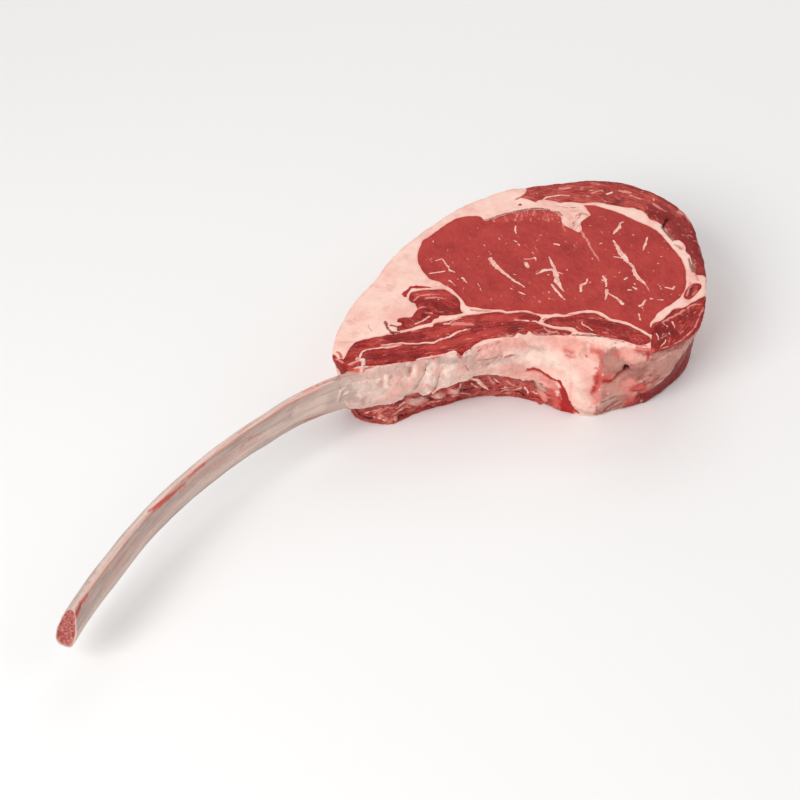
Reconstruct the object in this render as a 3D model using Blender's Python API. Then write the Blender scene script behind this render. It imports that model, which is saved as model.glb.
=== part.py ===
"""Raw tomahawk steak: a thick rib steak on its long cleaned rib, lying on its cut face.

Metres, +Z up. The origin is the middle of the meat's flat underside. +X runs to the
spine end of the steak, +Y to its back, and the cleaned rib leaves at the front left.
Every muscle runs through from cut face to cut face, and the fat is one web between them.
"""

import math

import bpy
import numpy as np

MM = 0.001

# Driving dimensions, in millimetres
THICKNESS = 52.0        # from cut face to cut face
GAP = 0.3               # clearance between neighbours
RIM_ROUND = 2.4         # rounding of the outer edge at both cut faces
WALL_STEP = 3.4         # spacing of the points round the meat
MUSCLE_STEP = 3.6       # spacing of the points round a muscle
LOWER_MEAT_TOP = 29.0   # height of the meat that is left under the rib
LOWER_MEAT_LEAN = 16.0  # how far its spine end is set back at the top
TAIL_SKIN = 2.2         # fat over the side of the tail muscle
TAIL_BARE_TOP = 13.0    # height up to which the tail muscle shows in the wall
OVERSHOOT = 12.0        # how far a cutter passes the cut faces

# Outline of the meat, from the front left corner round the back. Each point: x and y at the
# upper cut face, x and y at the underside, and how far the wall bulges at mid height.
MEAT_OUTLINE = [
    (-95, -77.5, -88, -67.5, 1), (-101, -71, -93, -61, 1), (-99, -52, -94, -50, 2),
    (-91, -29, -89, -29, 2), (-80, -10, -78, -11, 2), (-69, 10, -67, 9, 2),
    (-60, 22, -58, 21, 2), (-50, 34, -49, 33, 2), (-33, 51, -32, 49, 2),
    (-12, 63.5, -12, 61, 2), (10, 71, 10, 69, 2), (35, 75, 34, 72, 2),
    (58, 75, 57, 71, 2), (79, 65, 77, 62, 2), (94, 49, 91, 47, 2),
    (100, 27, 97, 26, 2), (102, 0, 98.5, 0, 1), (101, -17, 97, -15, 0),
    (98.5, -33, 92.5, -29, -1.5), (92, -51, 84, -40.5, -2), (81, -61, 72, -51, 0),
    (66, -67, 60, -56.5, 1.5), (54, -65, 50, -61, 2), (43, -62, 40, -64.5, 2.5),
    (30, -57.5, 27, -63, 3), (16, -56.5, 17, -58, 2), (4, -56, 5, -52.5, 3),
    (-8, -57.5, -8, -50, 5), (-19, -61, -20, -50, 5), (-30, -66, -32, -53, 5),
    (-42, -70.5, -44, -58, 4), (-56, -74, -58, -64, 2), (-70, -76, -70, -71.5, 1),
    (-85, -77.5, -80, -70.5, 1),
]

# Outlines of the muscles at the cut face. A stretch outside the meat only closes the cutter.
EYE_OUTLINE = [
    (-55, -3), (-56, 9), (-52, 21), (-41, 35), (-28, 43), (-12, 41.5), (4, 46),
    (16, 49), (25, 41), (33, 30), (38, 40), (41, 52), (52, 50.5), (67, 40), (80, 28),
    (88, 12), (91, -4), (89, -18), (80, -32), (70, -44), (64, -53), (54, -47),
    (41, -38.5), (20, -38), (-8, -36), (-24, -32), (-36, -22), (-46, -12),
]
CAP_OUTLINE = [
    (-3, 58), (7, 60), (20, 58), (40, 57), (55, 54.5), (67, 49), (73, 41), (81, 32),
    (88, 20), (93, 10), (95, -4), (101, -8), (116, -6), (116, 34), (98, 68), (62, 90),
    (22, 86), (9, 69),
]
ISLAND_OUTLINE = [(87, -24), (89.5, -18), (93, -13), (95, -15), (94, -20.5), (90, -26.5)]
TAIL_OUTLINE = [
    (67.5, -50), (74, -43), (80, -36.5), (88, -33), (96, -26), (108, -22), (112, -48),
    (98, -72), (74, -84), (64, -76), (66, -62), (66.5, -56),
]
LOBE_OUTLINE = [
    (-62, -24), (-58, -20), (-48, -18), (-40, -21), (-34, -28), (-32, -36), (-38, -39.5),
    (-46, -43), (-50, -47.5), (-60, -50), (-68, -51), (-66, -44), (-59, -40),
    (-55, -34), (-59, -29),
]
RIB_STRIP_OUTLINE = [
    (-112, -70), (-99, -73), (-93, -66), (-87, -60), (-78, -56.5), (-66, -54.2),
    (-52, -50.5), (-44, -46), (-33, -41.8), (-22, -38.8), (-6, -38.8), (5, -40),
    (8, -45), (14, -50), (15, -53.5), (4, -53.5), (-9, -54.5), (-20, -58), (-31, -63),
    (-43, -68), (-52, -73), (-58, -86), (-82, -96), (-112, -98), (-120, -84),
]
INNER_STRIP_OUTLINE = [
    (11, -44.5), (17, -41.2), (30, -39.8), (41, -42), (52, -50), (60, -57), (61, -60),
    (53, -60), (43, -56.5), (30, -53), (18, -48.5),
]
LOWER_MEAT_OUTLINE = [
    (-114, -62), (-92, -61), (-60, -58), (-40, -53), (-20, -45), (-4, -44), (8, -48.5),
    (17, -53), (24, -59), (24, -76), (-20, -88), (-60, -98), (-114, -104), (-124, -82),
]

# The rib, from its end inside the meat to its sawn tip. Each station: x, y, mid height,
# section height, thickness low and high, and lean of the top to the hollow side in degrees.
RIB_STATIONS = [
    (32, -44, 37, 18, 9, 8, 0), (4, -46.5, 37, 20, 10, 8, 0),
    (-21, -53.5, 37.5, 22, 10.5, 8, 0), (-54, -69.3, 37.5, 23, 10.5, 7.5, 0),
    (-92, -79.3, 36, 22, 11, 7, 0), (-118, -93, 35, 20.5, 10, 6.5, 1),
    (-146, -116.5, 34, 20, 9.5, 6, 3), (-171, -143.5, 33, 20, 9, 6, 4),
    (-191.5, -172, 32, 21, 9, 6.5, 5), (-206.5, -200, 31, 23, 9.5, 7, 7),
    (-217, -221, 30.5, 24, 11, 6.5, 10), (-222, -233.5, 30.5, 25, 12.5, 6, 12),
]
RIB_RINGS_PER_STATION = 4
RIB_SIDES = 20
RIB_SQUARENESS = 0.62   # 1 is an ellipse, less is fuller at the corners
TIP_CUT_SLANT = 5.0     # how far the bottom of the sawn end stands past its top

# Colours, as linear RGB, and roughness
FINISHES = {
    "red_meat": ((0.37, 0.045, 0.038), 0.42),
    "dark_meat": ((0.24, 0.025, 0.022), 0.4),
    "white_fat": ((0.80, 0.52, 0.42), 0.5),
    "rib_bone": ((0.60, 0.47, 0.39), 0.45),
}


def clear_scene():
    for obj in list(bpy.data.objects):
        bpy.data.objects.remove(obj)


def make_finish(name):
    colour, roughness = FINISHES[name]
    finish = bpy.data.materials.new(name)
    finish.use_nodes = True
    shader = finish.node_tree.nodes["Principled BSDF"]
    shader.inputs["Base Color"].default_value = (*colour, 1.0)
    shader.inputs["Roughness"].default_value = roughness
    return finish


def smooth_rows(rows, steps, closed):
    """Points on a smooth curve through the rows, with every column carried along."""
    rows = np.array(rows, dtype=float)
    if closed:
        rows = np.vstack([rows[-1], rows, rows[0], rows[1]])
    else:
        rows = np.vstack([2 * rows[0] - rows[1], rows, 2 * rows[-1] - rows[-2]])
    curve = []
    for before, start, end, after in zip(rows, rows[1:], rows[2:], rows[3:]):
        for step in range(steps):
            t = step / steps
            curve.append(0.5 * (
                2 * start + (end - before) * t
                + (2 * before - 5 * start + 4 * end - after) * t ** 2
                + (3 * start - before - 3 * end + after) * t ** 3
            ))
    if not closed:
        curve.append(rows[-2])
    return np.array(curve)


def even_outline(rows, spacing):
    """A closed smooth outline, evenly spaced and running anticlockwise seen from above."""
    fine = smooth_rows(rows, 24, closed=True)
    x, y = fine[:, 0], fine[:, 1]
    if np.sum(x * np.roll(y, -1) - y * np.roll(x, -1)) < 0:
        fine = fine[::-1]
    loop = np.vstack([fine, fine[:1]])
    walked = np.concatenate([[0], np.cumsum(np.hypot(*np.diff(loop[:, :2], axis=0).T))])
    stops = np.linspace(0, walked[-1], int(round(walked[-1] / spacing)), endpoint=False)
    return np.column_stack([np.interp(stops, walked, column) for column in loop.T])


def moved_out(outline, distance):
    """The x and y of an anticlockwise outline, moved along its outward normals."""
    points = outline[:, :2]
    along = np.roll(points, -1, axis=0) - np.roll(points, 1, axis=0)
    along /= np.linalg.norm(along, axis=1)[:, None]
    outward = np.column_stack([along[:, 1], -along[:, 0]])
    return points + outward * np.broadcast_to(distance, len(points))[:, None]


def lofted(name, rings, finish=None):
    """One closed solid through a stack of rings with the same number of points."""
    sides = len(rings[0])
    vertices = [tuple(point * MM) for ring in rings for point in ring]
    faces = [tuple(reversed(range(sides)))]
    for level in range(len(rings) - 1):
        for side in range(sides):
            low = level * sides + side
            low_next = level * sides + (side + 1) % sides
            faces.append((low, low_next, low_next + sides, low + sides))
    faces.append(tuple(range((len(rings) - 1) * sides, len(rings) * sides)))
    mesh = bpy.data.meshes.new(name)
    mesh.from_pydata(vertices, [], faces)
    mesh.shade_smooth()
    mesh.set_sharp_from_angle(angle=math.radians(40))
    obj = bpy.data.objects.new(name, mesh)
    bpy.context.collection.objects.link(obj)
    if finish:
        mesh.materials.append(finish)
    return obj


def as_cutter(obj):
    obj.hide_render = True
    obj.display_type = "WIRE"
    return obj


def at_height(points, z):
    return np.column_stack([points, np.full(len(points), float(z))])


def meat_rings(skin=0.0, bare_top=0.0):
    """The wall of the whole steak, as level rings from the underside up.

    skin moves the wall inwards above the height bare_top, and outwards below it.
    """
    outline = even_outline(MEAT_OUTLINE, WALL_STEP)
    upper, under, belly = outline[:, :2], outline[:, 2:4], outline[:, 4]
    rings = []
    for share in (0, 0.015, 0.055, 0.18, 0.34, 0.5, 0.66, 0.82, 0.945, 0.985, 1):
        from_edge = min(share, 1 - share) * THICKNESS
        short = max(RIM_ROUND - from_edge, 0)
        rim = RIM_ROUND - math.sqrt(RIM_ROUND ** 2 - short ** 2)
        inward = skin if share * THICKNESS > bare_top else -skin
        wall = under + (upper - under) * share
        bulge = belly * math.sin(math.pi * share)
        rings.append(at_height(moved_out(wall, bulge - rim - inward), share * THICKNESS))
    return rings


def tail_shell(name, grow):
    """What bounds the tail muscle: the wall less its fat, and past the wall low down."""
    rings = meat_rings(skin=TAIL_SKIN - grow, bare_top=TAIL_BARE_TOP)
    rings[0][:, 2] -= OVERSHOOT
    rings[-1][:, 2] += OVERSHOOT
    return as_cutter(lofted(name, rings))


def muscle_cutter(name, rows, grow):
    """An upright prism over a muscle's outline, made smaller or larger by half a gap."""
    points = moved_out(even_outline(rows, MUSCLE_STEP), grow)
    top = THICKNESS + OVERSHOOT
    return as_cutter(lofted(name, [at_height(points, -OVERSHOOT), at_height(points, top)]))


def lower_meat_cutter(name, grow):
    """The room of the meat under the rib, whose spine end leans back under the fat."""
    outline = even_outline(LOWER_MEAT_OUTLINE, MUSCLE_STEP)
    leaning = outline.copy()
    leaning[:, 0] -= LOWER_MEAT_LEAN * np.clip((outline[:, 0] + 24) / 48, 0, 1) ** 2
    low, high = moved_out(outline, grow), moved_out(leaning, grow)
    rings = [at_height(low, -OVERSHOOT), at_height(low, 0), at_height(high, LOWER_MEAT_TOP + grow)]
    return as_cutter(lofted(name, rings))


def rib_rings(grow):
    """The rib's teardrop sections, each square to its curved run."""
    stations = smooth_rows(RIB_STATIONS, RIB_RINGS_PER_STATION, closed=False)
    angles = np.linspace(0, 2 * math.pi, RIB_SIDES, endpoint=False)
    rise = np.sin(angles)
    spread = np.sign(np.cos(angles)) * np.abs(np.cos(angles)) ** RIB_SQUARENESS
    rings = []
    for index, (x, y, mid, height, low, high, lean) in enumerate(stations):
        after = stations[min(index + 1, len(stations) - 1)][:2]
        before = stations[max(index - 1, 0)][:2]
        run = (after - before) / np.linalg.norm(after - before)
        side = np.array([-run[1], run[0]])
        thickness = low + (high - low) * (rise + 1) / 2
        across = spread * (thickness / 2 + grow)
        up = rise * (height / 2 + grow)
        tilt = math.radians(lean)
        sideways = across * math.cos(tilt) + up * math.sin(tilt)
        upward = up * math.cos(tilt) - across * math.sin(tilt)
        slant = 0.0
        if index == len(stations) - 1:
            slant = -TIP_CUT_SLANT * rise / 2 + grow
        if index == 0:
            slant = -grow
        points = np.array([x, y]) + sideways[:, None] * side + np.outer(slant * np.ones(RIB_SIDES), run)
        rings.append(np.column_stack([points, mid + upward]))
    return rings


def combine(obj, other, operation):
    """A live Boolean with one other object."""
    modifier = obj.modifiers.new(other.name, "BOOLEAN")
    modifier.operation = operation
    modifier.solver = "EXACT"
    modifier.object = other


def muscle(name, finish, outline, cuts=()):
    """The part of the steak inside a muscle's cutter, less the pieces that cross it."""
    piece = lofted(name, meat_rings(), finish)
    combine(piece, outline, "INTERSECT")
    for cut in cuts:
        combine(piece, cut, "DIFFERENCE")
    return piece


def build():
    clear_scene()
    finishes = {name: make_finish(name) for name in FINISHES}
    red, dark = finishes["red_meat"], finishes["dark_meat"]

    lofted("rib_bone", rib_rings(0), finishes["rib_bone"])
    rib_room = as_cutter(lofted("rib_room", rib_rings(GAP)))
    lower_room = lower_meat_cutter("lower_meat_room", GAP / 2)
    rooms = [rib_room, lower_room]

    upright = {
        "eye_muscle": (EYE_OUTLINE, red, ()),
        "cap_muscle": (CAP_OUTLINE, red, ()),
        "island_muscle": (ISLAND_OUTLINE, dark, ()),
        "tail_muscle": (TAIL_OUTLINE, dark, ()),
        "lobe_muscle": (LOBE_OUTLINE, dark, ()),
        "rib_strip_muscle": (RIB_STRIP_OUTLINE, dark, (rib_room, lower_room)),
        "inner_strip_muscle": (INNER_STRIP_OUTLINE, dark, (rib_room,)),
    }
    for name, (rows, finish, cuts) in upright.items():
        piece = muscle(name, finish, muscle_cutter(name + ".outline", rows, -GAP / 2), cuts)
        room = muscle_cutter(name + ".room", rows, GAP / 2)
        if name == "tail_muscle":
            combine(piece, tail_shell("tail_muscle.shell", -GAP / 2), "INTERSECT")
            combine(room, tail_shell("tail_muscle.room_shell", GAP / 2), "INTERSECT")
        rooms.append(room)
    muscle("lower_rib_meat", dark, lower_meat_cutter("lower_meat.outline", -GAP / 2), (rib_room,))

    fat = lofted("fat", meat_rings(), finishes["white_fat"])
    for room in rooms:
        combine(fat, room, "DIFFERENCE")


build()
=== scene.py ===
import itertools
import math

import bpy
import numpy as np
from mathutils.bvhtree import BVHTree
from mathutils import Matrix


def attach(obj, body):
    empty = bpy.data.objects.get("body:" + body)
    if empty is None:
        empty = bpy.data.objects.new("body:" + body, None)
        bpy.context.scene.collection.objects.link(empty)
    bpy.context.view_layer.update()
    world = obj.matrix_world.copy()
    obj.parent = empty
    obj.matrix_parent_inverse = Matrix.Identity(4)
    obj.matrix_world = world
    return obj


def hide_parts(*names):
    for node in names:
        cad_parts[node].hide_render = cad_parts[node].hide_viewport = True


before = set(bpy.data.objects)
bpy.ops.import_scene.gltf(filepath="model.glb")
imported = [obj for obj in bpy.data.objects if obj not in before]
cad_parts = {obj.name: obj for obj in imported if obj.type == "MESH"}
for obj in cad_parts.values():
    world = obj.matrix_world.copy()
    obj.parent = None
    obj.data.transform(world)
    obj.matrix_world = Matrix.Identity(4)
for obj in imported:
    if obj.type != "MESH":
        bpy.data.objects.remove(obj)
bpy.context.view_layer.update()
mm = 0.001


# Small helpers for modelling

def deselectAll():
    bpy.ops.object.select_all(action="DESELECT")


def useOnly(piece):
    deselectAll()
    piece.select_set(True)
    bpy.context.view_layer.objects.active = piece


def readAll(group, name, size, kind=float):
    values = np.empty(len(group) * size, dtype=kind)
    group.foreach_get(name, values)
    return values.reshape(-1, size)


def readPoints(piece):  # in millimetres
    return readAll(piece.data.vertices, "co", 3) / mm


def writePoints(piece, points):
    piece.data.vertices.foreach_set("co", (np.asarray(points) * mm).ravel())
    piece.data.update()


def selectParts(piece, kind, chosen):  # kind is VERT, EDGE or FACE; chosen is one flag for each
    useOnly(piece)
    bpy.context.tool_settings.mesh_select_mode = (kind == "VERT", kind == "EDGE", kind == "FACE")
    for group in (piece.data.vertices, piece.data.edges, piece.data.polygons):
        group.foreach_set("select", np.zeros(len(group), dtype=bool))
    group = {"VERT": piece.data.vertices, "EDGE": piece.data.edges, "FACE": piece.data.polygons}[kind]
    group.foreach_set("select", chosen)
    bpy.ops.object.mode_set(mode="EDIT")


def leaveEdit():
    bpy.ops.object.mode_set(mode="OBJECT")


# A closed prism and, for each of its points, its place round it and its share of the height
def addPrism(name, sides, cuts):
    deselectAll()
    bpy.ops.mesh.primitive_cylinder_add(vertices=sides, radius=1, depth=1, location=(0, 0, 0.5))
    prism = bpy.context.object
    prism.name = name
    bpy.ops.object.transform_apply(location=True, rotation=True, scale=True)
    for number in cuts:
        height = readPoints(prism)[:, 2]
        ends = readAll(prism.data.edges, "vertices", 2, int)
        selectParts(prism, "EDGE", np.abs(height[ends[:, 0]] - height[ends[:, 1]]) * mm > 1e-6)
        bpy.ops.mesh.subdivide(number_cuts=number)
        leaveEdit()
    points = readPoints(prism) * mm
    turn = -np.arctan2(points[:, 0], points[:, 1]) / (2 * math.pi)
    return prism, np.round(turn * sides).astype(int) % sides, points[:, 2]


def copyOf(piece, name):
    other = piece.copy()
    other.data = piece.data.copy()
    other.name = name
    other.data.name = name
    bpy.context.collection.objects.link(other)
    return other


def cutWith(piece, cutter, operation):
    useOnly(piece)
    modifier = piece.modifiers.new("cut", "BOOLEAN")
    modifier.operation = operation
    modifier.solver = "MANIFOLD"
    modifier.object = cutter
    bpy.ops.object.modifier_apply(modifier=modifier.name)


def remove(pieces):
    for piece in pieces:
        bpy.data.objects.remove(piece)


# Points on a smooth curve through the rows, with every column carried along
def smoothRows(rows, steps, closed=True):
    rows = np.array(rows, dtype=float)
    if closed:
        rows = np.vstack([rows[-1], rows, rows[0], rows[1]])
    else:
        rows = np.vstack([2 * rows[0] - rows[1], rows, 2 * rows[-1] - rows[-2]])
    t = np.linspace(0, 1, steps, endpoint=False)[:, None]
    curve = [
        0.5 * (2 * start + (end - before) * t + (2 * before - 5 * start + 4 * end - after) * t ** 2
               + (3 * start - before - 3 * end + after) * t ** 3)
        for before, start, end, after in zip(rows, rows[1:], rows[2:], rows[3:])
    ]
    if not closed:
        curve.append(rows[-2:-1])
    return np.vstack(curve)


def walkedAlong(rows):  # how far along its plan each point of a path lies
    return np.concatenate([[0], np.cumsum(np.hypot(*np.diff(rows[:, :2], axis=0).T))])


def evenOutline(rows, spacing):  # evenly spaced, anticlockwise seen from above
    fine = smoothRows(rows, 24)
    x, y = fine[:, 0], fine[:, 1]
    if np.sum(x * np.roll(y, -1) - y * np.roll(x, -1)) < 0:
        fine = fine[::-1]
    loop = np.vstack([fine, fine[:1]])
    walked = walkedAlong(loop)
    stops = np.linspace(0, walked[-1], int(round(walked[-1] / spacing)), endpoint=False)
    return np.column_stack([np.interp(stops, walked, column) for column in loop.T])


def edgeAt(edge, x):  # height of an edge that is given as places along x
    return np.interp(x, *np.array(edge, dtype=float).T)


def atZero(plan):  # places of a plan, as points at height 0
    return np.column_stack([plan, np.zeros(len(plan))])


# For each point, its place along a straight stretch, from 0 to 1, and how far it is from it
def fromStretch(points, start, end):
    span = end - start
    along = np.clip((points - start) @ span / (span @ span), 0, 1)
    return along, np.linalg.norm(points - start - along[:, None] * span, axis=1)


def outwardOf(points):  # outward normals of an anticlockwise outline
    along = np.roll(points, -1, axis=0) - np.roll(points, 1, axis=0)
    along /= np.linalg.norm(along, axis=1)[:, None]
    return np.column_stack([along[:, 1], -along[:, 0]])


# Smooth random relief, about -1 to 1, the same each run; size is one number or one for each axis
def lumps(points, size, seed=0, layers=3):
    total, weight = np.zeros(len(points)), 1.0
    size = np.broadcast_to(np.asarray(size, dtype=float), 3)
    for layer in range(layers):
        cell = points / size + 31.7 * seed + 5.3 * layer
        corner = np.floor(cell).astype(np.int64)
        part = cell - corner
        part = part * part * (3 - 2 * part)
        for step in itertools.product((0, 1), repeat=3):
            key = (corner + step) * np.array([73856093, 19349663, 83492791])
            key = key[:, 0] ^ key[:, 1] ^ key[:, 2]
            key = (key ^ (key >> 13)) * 1274126177
            value = ((key ^ (key >> 16)) & 0xFFFF) / 32767.5 - 1
            total += weight * value * np.prod(np.where(step, part, 1 - part), axis=1)
        size = size / 2.03
        weight *= 0.5
    return total


def ease(low, high, value):
    t = np.clip((value - low) / (high - low), 0, 1)
    return t * t * (3 - 2 * t)


# The body of the steak, which every piece is cut from

steak = {
    "thickness": 52.0,
    "wallStep": 0.65,       # spacing of the points round the wall
    "wallCuts": (79,),
    "topCuts": (100, 3),    # each number splits the upper cut face again
    "underCuts": (100, 1),
    "margin": 6.0,
    "lookupCell": 2.0,      # grid on which the nearest place of the wall is looked up
    "lookupReach": 22.0,
    "lookupSpread": 18,     # how many wall points each way are then tried
    "rimRound": 2.4,
    "frontRound": 1.5,      # the rim is sharper at the front
    "frontFrom": (-40, -55),
    "overTop": 1.2,         # how far the relief may stand over the upper cut face
    # x and y at the upper cut face, x and y at the underside, bulge at mid height
    "outline": [
        (-95, -77.5, -88, -67.5, 1), (-101, -71, -93, -61, 1), (-99, -52, -94, -50, 2),
        (-91, -29, -89, -29, 2), (-80, -10, -78, -11, 2), (-69, 10, -67, 9, 2), (-60, 22, -58, 21, 2),
        (-50, 34, -49, 33, 2), (-33, 51, -32, 49, 2), (-12, 63.5, -12, 61, 2), (10, 71, 10, 69, 2),
        (35, 75, 34, 72, 2), (58, 75, 57, 71, 2), (79, 65, 77, 62, 2), (94, 49, 91, 47, 2),
        (100, 27, 97, 26, 2), (102, 0, 98.5, 0, 1), (101, -17, 97, -15, 0), (98.5, -33, 92.5, -29, -1.5),
        (92, -51, 84, -40.5, -2), (81, -61, 72, -51, 0), (66, -67, 60, -56.5, 1.5), (54, -65, 50, -61, 2),
        (43, -62, 40, -64.5, 2.5), (30, -57.5, 27, -63, 3), (16, -56.5, 17, -58, 2), (4, -56, 5, -52.5, 3),
        (-8, -57.5, -8, -50, 5), (-19, -61, -20, -50, 5), (-30, -66, -32, -53, 5),
        (-42, -70.5, -44, -58, 4), (-56, -74, -58, -64, 2), (-70, -76, -70, -71.5, 1),
        (-85, -77.5, -80, -70.5, 1),
    ],
}
thickness = steak["thickness"]
wallRows = evenOutline(steak["outline"], steak["wallStep"])
wallUpper, wallUnder, wallBelly = wallRows[:, :2], wallRows[:, 2:4], wallRows[:, 4]
wallOutward = outwardOf((wallUpper + wallUnder) / 2)
wallCount = len(wallRows)


def wallPoint(index, share):
    middle = wallUnder[index] + (wallUpper[index] - wallUnder[index]) * share[:, None]
    bulge = wallBelly[index] * np.sin(math.pi * np.clip(share, 0, 1))
    return middle + wallOutward[index] * bulge[:, None]


# The steak's wall as a closed solid that passes both cut faces; inset moves it in, by height
def addWall(name, inset=None):
    solid, index, along = addPrism(name, wallCount, steak["wallCuts"])
    share = -0.1 + 1.2 * along
    plan = wallPoint(index, share)
    height = share * thickness
    if inset is not None:
        plan = plan - wallOutward[index] * inset(height)[:, None]
    writePoints(solid, np.column_stack([plan, height]))
    return solid


# The thickness of the steak as a block whose two cut faces are finely divided
def addSlab():
    low = wallUpper.min(axis=0) - steak["margin"]
    high = wallUpper.max(axis=0) + steak["margin"]
    deselectAll()
    bpy.ops.mesh.primitive_cube_add(size=1, location=(0, 0, 0))
    slab = bpy.context.object
    slab.name = "slab"
    unit = readPoints(slab) * mm + 0.5
    size = np.array([*(high - low), thickness])
    writePoints(slab, unit * size + np.array([*low, 0]))
    for side, cuts in ((1, steak["topCuts"]), (-1, steak["underCuts"])):
        for number in cuts:
            normals = readAll(slab.data.polygons, "normal", 3)
            selectParts(slab, "FACE", normals[:, 2] * side > 0.9)
            bpy.ops.mesh.subdivide(number_cuts=number)
            leaveEdit()
    return slab


# For each point, the nearest place on the wall and how far inside the wall the point is
def nearWall(points):
    index = np.zeros(len(points), dtype=int)
    inside = np.full(len(points), 99.0)
    every = np.arange(wallCount)
    middle = wallPoint(every, np.full(wallCount, 0.5))
    cell = steak["lookupCell"]
    places, back = np.unique(np.round(points[:, :2] / cell).astype(int), axis=0, return_inverse=True)
    gaps = np.linalg.norm(places[:, None] * cell - middle[None], axis=2)
    near = np.flatnonzero(gaps.min(axis=1)[back.ravel()] < steak["lookupReach"])
    offsets = np.arange(-steak["lookupSpread"], steak["lookupSpread"] + 1)
    tried = (gaps.argmin(axis=1)[back.ravel()][near, None] + offsets) % wallCount
    share = np.repeat(points[near, 2] / thickness, len(offsets))
    places = wallPoint(tried.ravel(), share).reshape(len(near), len(offsets), 2)
    best = np.linalg.norm(places - points[near, None, :2], axis=2).argmin(axis=1)
    rows = np.arange(len(near))
    index[near] = tried[rows, best]
    gap = places[rows, best] - points[near, :2]
    inside[near] = np.sum(gap * wallOutward[index[near]], axis=1)
    return index, inside


# Rounds the rims, and gives each point of the outer surface its outward direction
def roundRims(points):
    index, inside = nearWall(points)
    z = points[:, 2]
    outward = atZero(wallOutward[index])
    nearFront = ease(*steak["frontFrom"], points[:, 1])
    radius = steak["rimRound"] + (steak["frontRound"] - steak["rimRound"]) * nearFront
    upper, under = z > thickness - 0.01, z < 0.01
    side = (np.abs(inside) < 0.08) & ~upper & ~under
    shaped, direction = points.copy(), np.zeros_like(points)
    for sign, fromFace, face in ((1, thickness - z, upper), (-1, z, under)):
        onFace = face & (inside < radius)
        onWall = side & (fromFace < radius)
        turn = np.where(onFace, 1 + inside / radius, 1 - fromFace / radius) * math.pi / 4
        inward = radius - radius * np.cos(turn)
        drop = radius - radius * np.sin(turn)
        rim = onFace | onWall
        move = np.where(onFace, inside, 0) - inward
        shaped[rim] += (outward * move[:, None])[rim]
        shaped[rim, 2] = (thickness - drop if sign > 0 else drop)[rim]
        direction[rim] = (outward * np.cos(turn)[:, None] + np.outer(np.sin(turn), (0, 0, sign)))[rim]
        direction[face & ~onFace] = (0, 0, sign)
    plain = side & (np.abs(direction).sum(axis=1) == 0)
    direction[plain] = outward[plain]
    return shaped, direction, np.where(side, 1.0, 0.0), index, inside


# The point of the steak's wall at a place along x (axis 0) or y (axis 1) and a height, on the
# stretch of wall that faces one way
def onWall(facing, axis, spot, z):
    ring = wallPoint(np.arange(wallCount), np.full(wallCount, z / thickness))
    chosen = np.flatnonzero(wallOutward @ facing > 0.02)
    chosen = chosen[np.argsort(ring[chosen, axis])]
    found = [spot, spot, z]
    found[1 - axis] = np.interp(spot, ring[chosen, axis], ring[chosen, 1 - axis])
    return found


def onFront(x, z):
    return onWall((0, -1), 0, x, z)


def onBack(x, z):
    return onWall((0, 1), 0, x, z)


def onEnd(y, z):
    return onWall((1, 0), 1, y, z)


def rgb(red, green, blue):  # a colour as it looks on screen, 0 to 255
    return (*[(value / 255 / 12.92) if value < 10.3 else ((value / 255 + 0.055) / 1.055) ** 2.4
              for value in (red, green, blue)], 1.0)


# Finds the points in a small box quickly, from their sorted x
class Nearby:
    def __init__(self, points):
        self.points = points
        self.order = np.argsort(points[:, 0])
        self.sortedX = points[self.order, 0]

    def box(self, low, high):
        first, last = np.searchsorted(self.sortedX, (low[0], high[0]))
        some = self.order[first:last]
        return some[((self.points[some] > low) & (self.points[some] < high)).all(axis=1)]


# Colours of the soft washes, as they look on screen, and how far each one covers; the near-black
# one is painted shade in holes, cracks and crevices, and dark streaks in the inner strip
tints = {
    "salmon": (240, 172, 158, 0.85), "cream": (252, 220, 206, 0.7), "ash": (210, 172, 160, 0.75),
    "bone": (224, 196, 184, 0.8), "mauve": (174, 112, 101, 0.65), "tan": (206, 146, 132, 0.7),
    "blood": (176, 34, 32, 1.0), "rose": (212, 92, 82, 0.85), "deep": (124, 16, 16, 0.6),
    "brick": (140, 34, 32, 0.8), "slate": (150, 106, 94, 0.9), "umber": (74, 20, 19, 1.0),
    "pink": (228, 140, 128, 0.9), "shell": (199, 172, 161, 0.9), "bright": (198, 66, 58, 0.7),
    "blush": (238, 182, 168, 0.6),
}


brush = {
    "uneven": 0.3, "unevenSize": 1.6,   # how much a stroke's width changes, and over what length
    "wander": 0.4, "wanderSize": 3.2,   # how far its path strays, in millimetres
    "edge": 4.0,                        # how far in from a muscle's outline is looked at
}
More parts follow.
